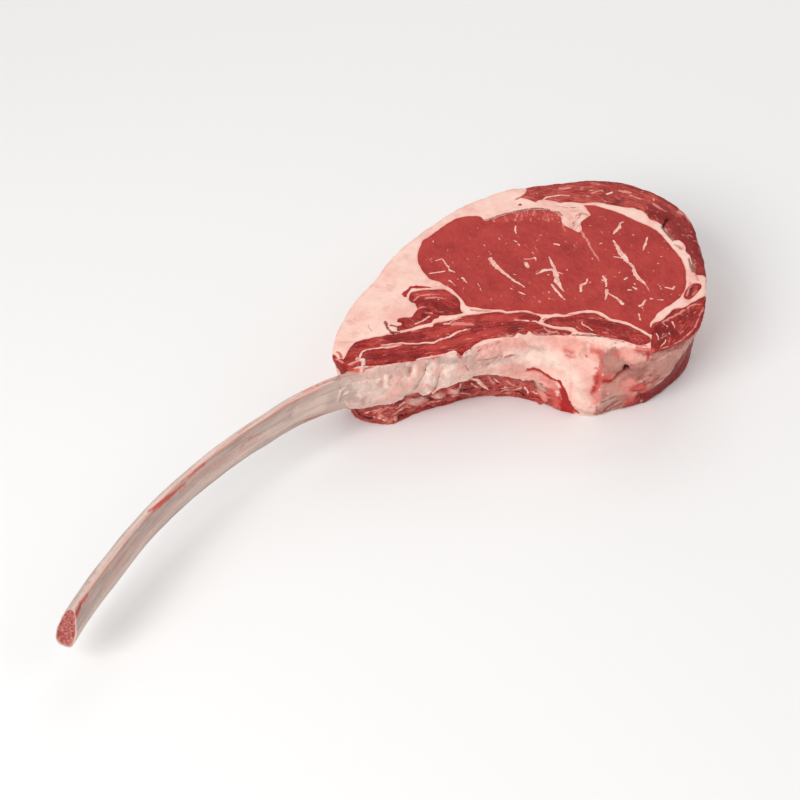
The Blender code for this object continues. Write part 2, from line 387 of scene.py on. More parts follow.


# Marks are brush strokes: kind, half width, softness, relief, then one or more paths of places.
# A place may end with its own share of the width. The kinds pale, dark and mottle have a field
# each, from 0 to 1; the dark field is painted shade in cracks and slits. Every other kind is a wash
# of one of the tints.
def drawMarks(points, marks, fields, lift):
    relief = np.zeros(len(points))
    uneven = 1 + brush["uneven"] * lumps(points, brush["unevenSize"], 41, 2)
    wander = np.column_stack([lumps(points, brush["wanderSize"], seed, 2) for seed in (42, 43, 44)])
    points = points + brush["wander"] * wander
    nearby = Nearby(points)
    strokes = [(*mark[:4], path) for mark in marks for path in mark[4:]]
    for kind, width, soft, depth, path in strokes:
        places = np.array([lift(*place[:2]) for place in path])
        shares = np.array([place[2] if len(place) > 2 else 1.0 for place in path])
        if len(places) == 1:
            places, shares = np.vstack([places, places + 0.01]), np.repeat(shares, 2)
        reach = 1.5 * width * shares.max() + soft + 0.5
        touched = nearby.box(places.min(axis=0) - reach, places.max(axis=0) + reach)
        if len(touched) == 0:
            continue
        paint, shape = np.zeros(len(points)), np.zeros(len(points))
        for start, end, first, last in zip(places, places[1:], shares, shares[1:]):
            near = nearby.box(np.minimum(start, end) - reach, np.maximum(start, end) + reach)
            along, gap = fromStretch(points[near], start, end)
            here = width * (first + (last - first) * along) * uneven[near]
            paint[near] = np.maximum(paint[near], np.clip((here - gap) / soft + 0.5, 0, 1))
            shape[near] = np.maximum(shape[near], ease(here + 0.7 * soft, 0.2 * here, gap))
        relief += depth * shape
        if kind in fields:
            fields[kind] = np.maximum(fields[kind], paint)
            continue
        *tint, strength = tints[kind]
        cover = strength * ease(0, 1, paint[touched])
        both = cover + fields["washShare"][touched] * (1 - cover)
        pull = (cover / np.maximum(both, 1e-6))[:, None]
        fields["wash"][touched] += (np.array(rgb(*tint)[:3]) - fields["wash"][touched]) * pull
        fields["washShare"][touched] = both
    return relief


# Short pale flecks, strewn in a box of the cut face and slanted about one way
def strewn(kind, count, box, slant, seed, longest=3.4, spread=28):
    draw = np.random.default_rng(seed)
    flecks = []
    for start in draw.uniform(box[0], box[1], (count, 2)):
        turn = math.radians(slant + draw.normal(0, spread))
        length, width = draw.uniform(0.8, longest), draw.uniform(0.16, 0.34)
        end = start + length * np.array([math.cos(turn), math.sin(turn)])
        flecks.append((kind, width, 0.55, 0, [tuple(start), (*end, 0.5)]))
    return flecks


def onTop(x, y):
    return [x, y, thickness]


# How far each point lies inside a closed outline, in plan, up to a limit
def insideOutline(points, outline, limit):
    gap = np.full(len(points), float(limit))
    nearby = Nearby(points[:, :2])
    for start, end in zip(outline, np.roll(outline, -1, axis=0)):
        near = nearby.box(np.minimum(start, end) - limit, np.maximum(start, end) + limit)
        gap[near] = np.minimum(gap[near], fromStretch(points[near, :2], start, end)[1])
    return gap


# The front wall: the folds beside the block, the block and its raw right face, and the lower meat.
# Places are x and height.
frontMarks = [
    # grey layer to the right of the rib
    ("ash", 3.0, 4, -0.3, [(-12, 44), (0, 44), (10, 43, 0.6)]),
    ("ash", 1.6, 3, -0.3, [(-20, 36), (-12, 38), (-2, 37)]),
    ("blush", 3.5, 5, 0, [(-10, 49), (10, 49.5)], [(0, 34), (8, 33)]),
    ("salmon", 3.0, 5, 0, [(14, 49.5), (26, 49), (40, 48)]),
    ("cream", 5.0, 5, 0.4, [(5, 36), (11, 36.5), (17, 35, 0.8)]),
    ("salmon", 3.5, 6, 0, [(20, 46), (30, 46), (36, 43)], [(36, 28), (36, 18)]),
    ("blush", 5.0, 6, 0, [(29, 38), (33, 30), (33, 20)]),
    ("cream", 3.0, 6, 0, [(23, 33), (29, 24), (31, 14, 0.6)]),
    ("ash", 2.0, 5, 0, [(29, 5), (36, 3)]),
    ("rose", 0.9, 3.6, 0, [(22, 44), (25, 43)], [(22.8, 40.6), (26, 40.2)]),
    ("rose", 1.6, 3.4, 0, [(34, 46), (38, 46.5), (41, 45)]),
    ("blood", 0.7, 1.0, -0.3, [(32.8, 42)]),
    # a small painted highlight, in cream
    ("cream", 0.8, 1.6, 0, [(33, 48.5), (33.5, 45)]),
    ("rose", 2.0, 3.0, 0, [(41, 46), (42, 40), (40.5, 35), (39, 30), (39.5, 24), (38, 19)]),
    ("blood", 1.0, 2.4, 0, [(41, 44, 0.6), (42, 38)], [(39, 31), (38.6, 26)], [(38, 23), (37.5, 19.5)]),
    ("pink", 2.4, 3.5, 0, [(39.5, 17), (40, 12)]),
    # painted shade in thin cracks of the block
    ("dark", 0.22, 0.5, -0.35, [(30.5, 31), (35.5, 31.2)], [(21.8, 24), (25.5, 23), (29, 22.5)]),
    # fold with its red line, the red meat below it and the corner of red against the block
    ("salmon", 3.6, 2.0, 0.6,
     [(-7, 26.5, 0.7), (-3, 26), (1, 24.3), (6, 25), (10, 22.6), (13.5, 20), (16, 17.5, 0.8)]),
    ("blush", 2.6, 2.0, 0.4, [(-2, 23.5), (3, 22.6), (8, 20)]),
    ("pink", 1.8, 2.5, 0, [(11, 23), (15, 20), (18.5, 17)]),
    ("rose", 2.2, 2.5, 0, [(16, 14), (18.5, 9), (20, 5)]),
    ("blood", 4.0, 2.2, -0.3, [(21, 17, 0.3), (23, 9, 0.8), (25, 2)]),
    ("pink", 0.8, 0.9, 0.3, [(20.3, 13.5, 0.6), (21.6, 9, 0.5)]),
    ("blood", 0.85, 1.1, -0.35, [(-6, 31, 0.4), (-4, 30), (-1.5, 28.5), (0.8, 28), (3.5, 28.8), (5.4, 29.8),
     (7.8, 28.8), (10, 27), (12.8, 25.3), (15, 23.5), (17.6, 21.8), (19.7, 22.2), (21.8, 18), (23.7, 14),
     (25.5, 9), (28, 5), (30.8, 2, 0.7)]),
    ("ash", 2.2, 3.0, 0.4, [(8.5, 16), (11.5, 13.5)]),
    ("pink", 1.6, 2.0, 0.3, [(9, 11), (12, 8), (13, 5)]),
    ("deep", 1.0, 1.4, -0.5, [(5.7, 20, 0.6), (7, 15), (8.3, 9.5, 0.5)]),
    ("pale", 0.5, 0.6, 0.3, [(6.5, 8), (9.5, 8.5)]),
    # corner and right face
    ("tan", 7, 6, 0, [(48, 44), (49, 30), (50, 18), (50, 6)]),
    ("mottle", 23, 6, 0, [(62, 26), (72, 24), (84, 26), (96, 28)], [(70, 36), (96, 36)]),
    ("mauve", 4.5, 5, -0.4, [(46.5, 46), (52, 44)], [(46, 39), (50, 36)]),
    ("tan", 2.4, 4, 0.2, [(44, 41), (46, 42)], [(51, 40), (53, 41)]),
    ("rose", 2.0, 3.5, 0, [(49, 46.5), (54, 46)]),
    ("salmon", 4.6, 4, 0.4, [(54, 47.5), (60, 45), (63, 41, 0.7)]),
    ("blood", 0.9, 2.0, -0.3, [(64, 50.5), (64.8, 48), (64.5, 43, 0.6)]),
    ("rose", 1.2, 2.6, 0, [(58, 51.5), (67, 51.5)]),
    ("mauve", 4.2, 4.5, -0.4, [(62, 39), (66, 35)], [(56, 30), (60, 32)]),
    ("tan", 6.5, 5, 0.4, [(73, 36), (77, 30), (80, 25, 0.6)]),
    ("tan", 4.0, 4, 0.3, [(70, 45), (78, 42), (88, 42)]),
    ("tan", 5.0, 5, 0, [(84, 38), (91, 36)]),
    ("blush", 1.2, 2.5, 0.2, [(71, 41), (76, 44)], [(84, 40), (88, 37)]),
    ("rose", 3.0, 4, 0, [(42, 29), (45, 30)], [(60, 21), (64, 20)], [(66, 14), (69, 12)], [(58.5, 8.5)]),
    ("pink", 3.0, 4, 0, [(56, 16), (60, 13)], [(54, 23), (57, 26)]),
    ("blood", 1.4, 2.0, -0.3, [(43.5, 27.5), (46, 27)]),
    # painted shade in a hole in the block's right face
    ("umber", 2.0, 0.9, -2.6, [(54.3, 36.5)]),
    ("brick", 0.8, 1.2, -0.9, [(54, 35.5), (52.3, 34), (49.5, 30), (48, 28), (45.5, 25.5, 0.5)]),
    ("ash", 2.8, 3.0, 0, [(45, 12), (49, 11)]),
    ("brick", 4.5, 3.5, -0.5, [(68, 8), (76, 12), (82, 16), (88, 22), (94, 30)],
     [(68, 2), (74, 3), (84, 8), (92, 18)]),
    ("deep", 2.0, 3.5, 0, [(72, 13, 0.6), (80, 18), (86, 23), (90.5, 30)]),
    ("deep", 2.0, 2.5, 0, [(77, 5), (80.5, 11.5), (84.5, 17)]),
    ("mauve", 2.4, 3.5, -0.2, [(41, 3), (45, 8)], [(50, 10), (56, 12)], [(47, 3), (54, 5)]),
    ("brick", 0.7, 1.4, -0.4, [(43, 11), (50.5, 14, 0.6)], [(41.5, 1.5), (47, 5), (52, 9, 0.6)],
     [(46, 2), (55, 6, 0.6)]),
    ("ash", 0.8, 1.6, 0.3, [(42, 7), (50, 10.5)], [(47, 3.5), (54, 6.5)], [(46, 14), (52, 16.5)]),
    # lower meat
    ("pale", 1.0, 1.2, 0.8, [(-28.5, 28, 0.6), (-24, 23.5), (-21.3, 17), (-18, 12, 0.5)]),
    ("pink", 2.8, 2.6, 0.6, [(-60, 15), (-56, 13), (-52, 12)], [(-46, 18), (-43, 15)],
     [(-38, 18), (-36, 15)]),
    ("bone", 1.9, 2.4, 0.6, [(-58.5, 15), (-54, 13.5)]),
    ("bone", 1.2, 2.4, 0.4, [(-45.5, 17), (-44, 15)], [(-37, 18), (-34, 16)]),
    ("pale", 0.5, 0.9, 0.5, [(-85, 9), (-76, 14), (-68, 18)], [(-74, 8), (-66, 14), (-62, 16)],
     [(-35, 18), (-33, 24)], [(-11, 11), (-9, 12.5), (-7, 11)], [(-10.5, 8), (-8.5, 9.3), (-6.5, 8)],
     [(-4, 8), (-2, 11), (0, 12)], [(-80, 6), (-74, 8)], [(-27, 21), (-24, 15)], [(-15, 21), (-11, 16)],
     [(2, 12), (4, 8)], [(-50, 8), (-44, 10)], [(-66, 10), (-60, 10)]),
    ("pink", 0.8, 1.6, 0.5, [(-80, 10), (-72, 15)], [(-70, 8), (-62, 12)], [(-18, 24), (-15, 17)],
     [(-8, 18), (-4, 14)], [(-34, 12), (-28, 8)], [(-12, 6), (-6, 4)]),
    # painted shade in the crevices of the lower meat
    ("umber", 1.3, 2.4, -1.0, [(-91, 8), (-88, 4), (-82, 3)], [(-74, 2), (-70, 3)],
     [(-30, 13), (-26, 12.5)], [(-50, 14), (-48, 11)], [(-66, 20), (-63, 21)], [(-20, 12), (-18, 9)],
     [(-2, 6), (2, 4)]),
    ("pink", 1.7, 1.4, 1.6, [(-74, 5)], [(-71, 3)], [(-76.5, 8)], [(-36, 11)], [(-68, 4)]),
]
# The spine end's wall, where places are y and height
endMarks = [
    ("mottle", 18, 8, 0, [(-46, 16), (-28, 18), (-14, 20)], [(-46, 40), (-28, 38), (-14, 36)]),
    ("tan", 6, 6, 0, [(-44, 41), (-30, 40), (-14, 40)]),
    ("brick", 5.0, 5, -0.3, [(-50, 4), (-34, 6), (-20, 8), (-6, 7)], [(-30, 16), (-14, 14)]),
    ("mauve", 3.0, 4, 0, [(-22, 27), (-10, 25)]),
    ("blush", 1.4, 3, 0.4, [(-9, 46), (-7, 34), (-9, 22), (-6, 10)]),
]
# The back wall, where places are x and height: the outer fat runs out over the cap's meat
backMarks = [
    ("blush", 3.0, 4, 0.5, [(-2, 50), (5, 43, 0.8), (2, 35), (9, 26), (5, 17), (12, 9, 0.8), (7, 1)]),
    ("blush", 1.8, 4, 0.3, [(4, 40), (13, 38, 0.5)], [(6, 24), (18, 21, 0.5)], [(8, 9), (22, 8, 0.5)]),
    ("pink", 2.0, 8, 0, [(-60, 30), (-50, 12)], [(-30, 40), (-24, 26)], [(-12, 18), (-6, 8)]),
]
front = {
    "recess": 1.8,          # how far the lower meat lies back
    "recessFrom": (0, -30),
    "lowerBack": -38,       # the lower meat shows in front of this y and left of this x
    "lowerEnd": 16,
    # height at which the pale layer ends and the lower meat shows, along x
    "lowerEdge": [
        (-95, 5), (-90, 12), (-85.5, 14.5), (-83, 16), (-80, 14.5), (-75.5, 15), (-74.5, 17), (-70.5, 20),
        (-66.5, 21), (-64, 22), (-63, 25), (-60, 25.5), (-56, 24.5), (-55, 21.5), (-51, 17.5),
        (-48.7, 20.5), (-47, 23), (-43.8, 25.5), (-40.6, 25), (-37.5, 26), (-35, 27), (-30.3, 27),
        (-26.5, 30), (-21.5, 29.5), (-17.7, 27.5), (-12.7, 26), (-8.5, 24), (-5, 22.5), (-1.5, 20.5),
        (1, 19), (3.2, 20), (5.5, 20), (6.3, 15), (7, 8), (9.5, 8), (11, 3), (13, -4),
    ],
}


def belowLayer(points):  # 1 on the front wall below the pale layer's ragged edge
    ragged = edgeAt(front["lowerEdge"], points[:, 0]) + 0.6 * lumps(points, (2.5, 2.5, 8), 51, 2)
    share = ease(0.5, -0.7, points[:, 2] - ragged)
    return share * (points[:, 1] < front["lowerBack"]) * (points[:, 0] < front["lowerEnd"])


def wallRelief(points):
    x, y, z = points.T
    forward = ease(-40, -52, y)
    low = belowLayer(points)
    raw = ease(38, 48, x) * forward
    relief = 0.6 * lumps(points, 15, 5, 2) + 0.15 * lumps(points, 3, 6, 2)
    relief += forward * (1 - raw) * 0.35 * lumps(np.column_stack([x + 0.6 * z, y, z]), (9, 9, 5), 7, 3)
    relief += raw * (0.7 * lumps(points, (9, 9, 6), 8, 3) + 0.25 * lumps(points, 2.2, 14, 2))
    strands = lumps(np.column_stack([x + 1.4 * z, y, z]), (4.5, 9, 9), 9, 3)
    fringe = ease(9, 0, z) * lumps(points, 4.5, 12, 3)
    recess = front["recess"] * (0.3 + 0.7 * ease(*front["recessFrom"], x))
    lower = 1.1 * strands + 0.7 * lumps(points, 5, 10, 3) + 1.1 * fringe - recess
    return relief + low * lower


def setAttribute(piece, name, values):
    layer = piece.data.attributes.new(name, "FLOAT", "POINT")
    layer.data.foreach_set("value", np.asarray(values, dtype=np.float32))


def emptyFields(count):
    fields = {kind: np.zeros(count) for kind in ("pale", "dark", "mottle", "washShare")}
    fields["wash"] = np.zeros((count, 3))
    return fields


def setFields(piece, fields):
    wash = fields.pop("wash")
    layer = piece.data.attributes.new("wash", "FLOAT_COLOR", "POINT")
    layer.data.foreach_set("color", np.column_stack([wash, np.ones(len(wash))]).ravel().astype(np.float32))
    for kind, values in fields.items():
        setAttribute(piece, kind, values)


def present(piece, look):  # finish, smooth shading and its place in the frame
    piece.data.materials.clear()
    piece.data.materials.append(look["finish"])
    useOnly(piece)
    bpy.ops.object.shade_smooth_by_angle(angle=math.radians(50))
    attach(piece, "root")
    if "node" in look:
        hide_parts(look["node"])
    print(piece.name, len(piece.data.vertices), "points")


# Finishes a cut piece: rims, relief, marks, shading and its place in the frame
def dress(piece, look, outlines):
    points = readPoints(piece)
    shaped, direction, side, index, inside = roundRims(points)
    fields = emptyFields(len(points))
    relief = drawMarks(points, look.get("topMarks", ()), fields, onTop)
    for marks, lift in ((frontMarks, onFront), (endMarks, onEnd), (backMarks, onBack)):
        relief += drawMarks(points, marks, fields, lift)
    if "turnedMarks" in look:  # the same marbling at the underside, turned about this place
        x, y = look["turnedMarks"]
        turned = np.column_stack([2 * x - points[:, 0], 2 * y - points[:, 1], thickness - points[:, 2]])
        relief += drawMarks(turned, look["topMarks"], fields, onTop)
    fields["mottle"] *= side
    edge = np.full(len(points), brush["edge"])
    for outline in outlines:
        edge = np.minimum(edge, insideOutline(points, outline, brush["edge"]))
    fields["low"] = side * belowLayer(points)
    fields["side"] = side
    fields["edge"] = edge
    fields["along"] = index * steak["wallStep"]
    fields["across"] = inside
    relief += -look["crown"] * ease(1.8, 0, edge) * (1 - side)
    relief += look["broad"] * lumps(points, 26, 1, 2) + look["fine"] * lumps(points, 5, 2, 3)
    relief += side * wallRelief(points)
    shaped += direction * relief[:, None]
    shaped[:, 2] = np.clip(shaped[:, 2], 0, thickness + steak["overTop"])
    writePoints(piece, shaped)
    setFields(piece, fields)
    present(piece, look)


# Shader maths: a Wire wraps a socket, and an expression on wires adds the nodes
class Wire:
    def __init__(self, finish, socket):
        self.finish = finish
        self.socket = socket

    def maths(self, operation, *values):
        return self.finish.add("ShaderNodeMath", {"operation": operation},
                               dict(enumerate((self, *values))))

    def __add__(self, other):
        return self.maths("ADD", other)

    def __sub__(self, other):
        return self.maths("SUBTRACT", other)

    def __mul__(self, other):
        return self.maths("MULTIPLY", other)

    def __rsub__(self, other):
        return self.finish.add("ShaderNodeMath", {"operation": "SUBTRACT"}, {0: other, 1: self})

    __radd__ = __add__
    __rmul__ = __mul__

    def ease(self, low, high):  # 0 below low, 1 above high, smooth between
        return self.finish.add("ShaderNodeMapRange", {"interpolation_type": "SMOOTHSTEP"},
                               {"Value": self, "From Min": low, "From Max": high})

    def least(self, other):
        return self.maths("MINIMUM", other)


class Finish:
    def __init__(self, name):
        self.material = bpy.data.materials.new(name)
        self.material.use_nodes = True
        self.tree = self.material.node_tree
        self.tree.nodes.clear()
        self.place = self.add("ShaderNodeTexCoord", output="Object")

    def add(self, kind, settings=None, sockets=None, output=0):
        node = self.tree.nodes.new(kind)
        for name, value in (settings or {}).items():
            if name == "stops":
                ramp = node.color_ramp
                while len(ramp.elements) < len(value):
                    ramp.elements.new(0.5)
                for element, (position, colour) in zip(ramp.elements, value):
                    element.position = position
                    element.color = colour
            else:
                setattr(node, name, value)
        for name, value in (sockets or {}).items():
            if isinstance(value, Wire):
                self.tree.links.new(value.socket, node.inputs[name])
            else:
                node.inputs[name].default_value = value
        return node if output is None else Wire(self, node.outputs[output])

    def field(self, name):
        return self.add("ShaderNodeAttribute", {"attribute_name": name}, output="Fac")

    def grain(self, size, turn=0, detail=3.0, seed=0, place=None):  # size in millimetres
        sizes = tuple(np.broadcast_to(size, 3) * mm)
        moved = self.add("ShaderNodeMapping", {"vector_type": "TEXTURE"}, {
            "Vector": place or self.place, "Rotation": (0, 0, math.radians(turn)), "Scale": sizes,
            "Location": (seed * 0.37, seed * 0.53, seed * 0.29)})
        return self.add("ShaderNodeTexNoise", {}, {
            "Vector": moved, "Scale": 1.0, "Detail": detail, "Roughness": 0.55})

    def blend(self, share, first, second):
        return self.add("ShaderNodeMix", {"data_type": "RGBA"},
                        {0: share, 6: first, 7: second}, output=2)

    def washed(self, colour, texture):  # the soft washes over a colour, broken up at their edges
        share = self.field("washShare")
        wobble = self.grain(1.3, detail=4.0, seed=21) - 0.5
        share = share + wobble * share * (1 - share) * 5.0
        tint = self.add("ShaderNodeAttribute", {"attribute_name": "wash"}, output="Color")
        darker = self.add("ShaderNodeMix", {"data_type": "RGBA", "blend_type": "MULTIPLY"},
                          {0: 1.0, 6: tint, 7: self.ramp(texture, [(0.32, (0.8, 0.8, 0.8, 1)),
                                                                  (0.6, (1.04, 1.04, 1.04, 1))])}, output=2)
        return self.blend(share.ease(0.04, 0.96), colour, darker)

    def ramp(self, value, stops):
        return self.add("ShaderNodeValToRGB", {"stops": stops}, {"Fac": value})

    def bump(self, height, depth, strength=1.0):  # depth in millimetres
        return self.add("ShaderNodeBump", {}, {
            "Height": height, "Distance": depth * mm, "Strength": strength})

    def surface(self, colour, roughness, normal, gloss=None):
        values = {"Base Color": colour, "Roughness": roughness, "Normal": normal, **(gloss or {})}
        shader = self.add("ShaderNodeBsdfPrincipled", {}, values)
        self.add("ShaderNodeOutputMaterial", {}, {"Surface": shader}, output=None)
        return self.material


# The finishes

def meatFinish(name, look):
    finish = Finish(name)
    follow = None
    if look.get("follow"):
        rise = finish.add("ShaderNodeSeparateXYZ", {}, {0: finish.place}, output=2) - thickness * mm
        follow = finish.add("ShaderNodeCombineXYZ", {}, {
            0: finish.field("along") * mm, 1: finish.field("across") * mm, 2: rise * 0.7})
    mottling = finish.grain(look["mottling"], detail=2.0, seed=1)
    bundle = finish.grain(look["bundle"], look["turn"], detail=3.0, seed=2, place=follow)
    fibre = finish.grain(look["fibre"], look["turn"], detail=4.0, seed=3, place=follow)
    fine = finish.grain(0.7, detail=2.0, seed=4)
    shares = look["shares"]
    tone = mottling * shares[0] + bundle * shares[1] + fibre * shares[2] + fine * shares[3]
    middle = 0.5 * sum(shares)
    colour = finish.ramp(tone, [(middle - 0.15, look["dark"]), (middle, look["main"]),
                                (middle + 0.15, look["light"])])
    veins = finish.grain(look["vein"], look["turn"], detail=3.0, seed=5, place=follow) - 0.5
    veins = (look["veinWidth"] - veins.maths("ABSOLUTE")) * 40
    veins = veins.ease(0, 1) * finish.grain(8, seed=6).ease(look["veinStart"], look["veinStart"] + 0.14)
    colour = finish.blend(veins * look["veinShare"], colour, look["veinColour"])
    flecks = finish.grain(look["fleck"], look["turn"], detail=2.0, seed=10, place=follow).ease(0.60, 0.70)
    colour = finish.blend(flecks * look["fleckShare"], colour, look["veinColour"])
    film = finish.field("side") * finish.grain((16, 16, 6), detail=5.0, seed=7).ease(0.40, 0.70)
    colour = finish.blend(film * look["film"], colour, look["filmColour"])
    wobble = finish.grain(1.1, detail=3.0, seed=8) - 0.5
    colour = finish.washed(colour, fibre)
    pale = (finish.field("pale") + wobble * 0.6).ease(0.34, 0.6)
    fatColour = finish.ramp(finish.grain(3, seed=9), [(0.35, rgb(228, 160, 146)), (0.6, rgb(246, 202, 187))])
    colour = finish.blend(pale, colour, fatColour)
    # painted shade: the dark field colours cracks and slits near black
    colour = finish.blend((finish.field("dark") + wobble * 0.6).ease(0.4, 0.7), colour, rgb(84, 18, 17))
    height = fibre * 0.5 + bundle * 0.3 + fine * 0.3 - pale * 0.2
    roughness = (fine * 0.3 + mottling * 0.2 + look["roughness"]).least(0.95)
    return finish.surface(colour, roughness, finish.bump(height, look["bump"]), look["gloss"])


meatLook = {
    "dark": rgb(150, 34, 32), "main": rgb(177, 52, 47), "light": rgb(192, 70, 62),
    "veinColour": rgb(214, 122, 108), "filmColour": rgb(214, 138, 126),
    "mottling": 16.0, "bundle": (5.0, 2.2, 5.0), "fibre": (2.4, 0.9, 2.4), "turn": -58,
    "shares": (0.4, 0.25, 0.25, 0.3), "vein": (9, 3.5, 9), "veinWidth": 0.012, "veinStart": 0.5,
    "veinShare": 0.4, "fleck": (1.6, 0.7, 1.6), "fleckShare": 0.12, "film": 0.0,
    "roughness": 0.34, "bump": 0.14, "gloss": {"IOR": 1.4, "Specular IOR Level": 0.36},
}


def fatFinish(name, look):
    finish = Finish(name)
    broad = finish.grain(17, detail=3.0, seed=1)
    soft = finish.grain(look["soft"], look["turn"], detail=4.0, seed=2)
    fine = finish.grain(0.8, detail=2.0, seed=3)
    colour = finish.ramp(broad * 0.5 + soft * 0.35 + fine * 0.15, [
        (0.38, look["dark"]), (0.5, look["main"]), (0.64, look["light"])])
    blush = finish.grain(10, detail=4.0, seed=4).ease(0.56, 0.72)
    colour = finish.blend(blush * look["blush"], colour, rgb(226, 140, 130))
    edge = finish.field("edge").ease(0, 1.2)
    colour = finish.blend((1 - edge) * 0.35, colour, rgb(222, 140, 128))
    raw = finish.ramp(finish.grain((6, 6, 4.5), 25, detail=6.0, seed=10), [
        (0.36, rgb(146, 62, 57)), (0.45, rgb(180, 104, 95)), (0.54, rgb(200, 136, 124)),
        (0.68, rgb(228, 176, 162))])
    broadWobble = finish.grain(5, detail=4.0, seed=8) - 0.5
    colour = finish.blend((finish.field("mottle") + broadWobble * 0.7).ease(0.15, 0.6), colour, raw)
    colour = finish.washed(colour, soft)
    wobble = finish.grain(1.4, detail=4.0, seed=9) - 0.5
    colour = finish.blend((finish.field("pale") + wobble * 0.7).ease(0.35, 0.65), colour, rgb(250, 216, 203))
    lowTone = finish.ramp(finish.grain((5, 5, 3), 20, detail=4.0, seed=11), [
        (0.4, rgb(120, 28, 26)), (0.52, rgb(172, 58, 52)), (0.66, rgb(212, 132, 119))])
    colour = finish.blend(finish.field("low").ease(0.3, 0.7), colour, lowTone)
    # painted shade: the dark field colours cracks and slits a dark red-brown
    colour = finish.blend((finish.field("dark") + wobble * 0.5).ease(0.4, 0.75), colour, rgb(96, 28, 26))
    height = soft * 0.7 + fine * 0.25
    roughness = soft * 0.2 + fine * 0.15 + 0.34
    return finish.surface(colour, roughness, finish.bump(height, look["bump"]),
                          {"IOR": 1.4, "Specular IOR Level": 0.35})


# The eye: the large round muscle, with its marbling

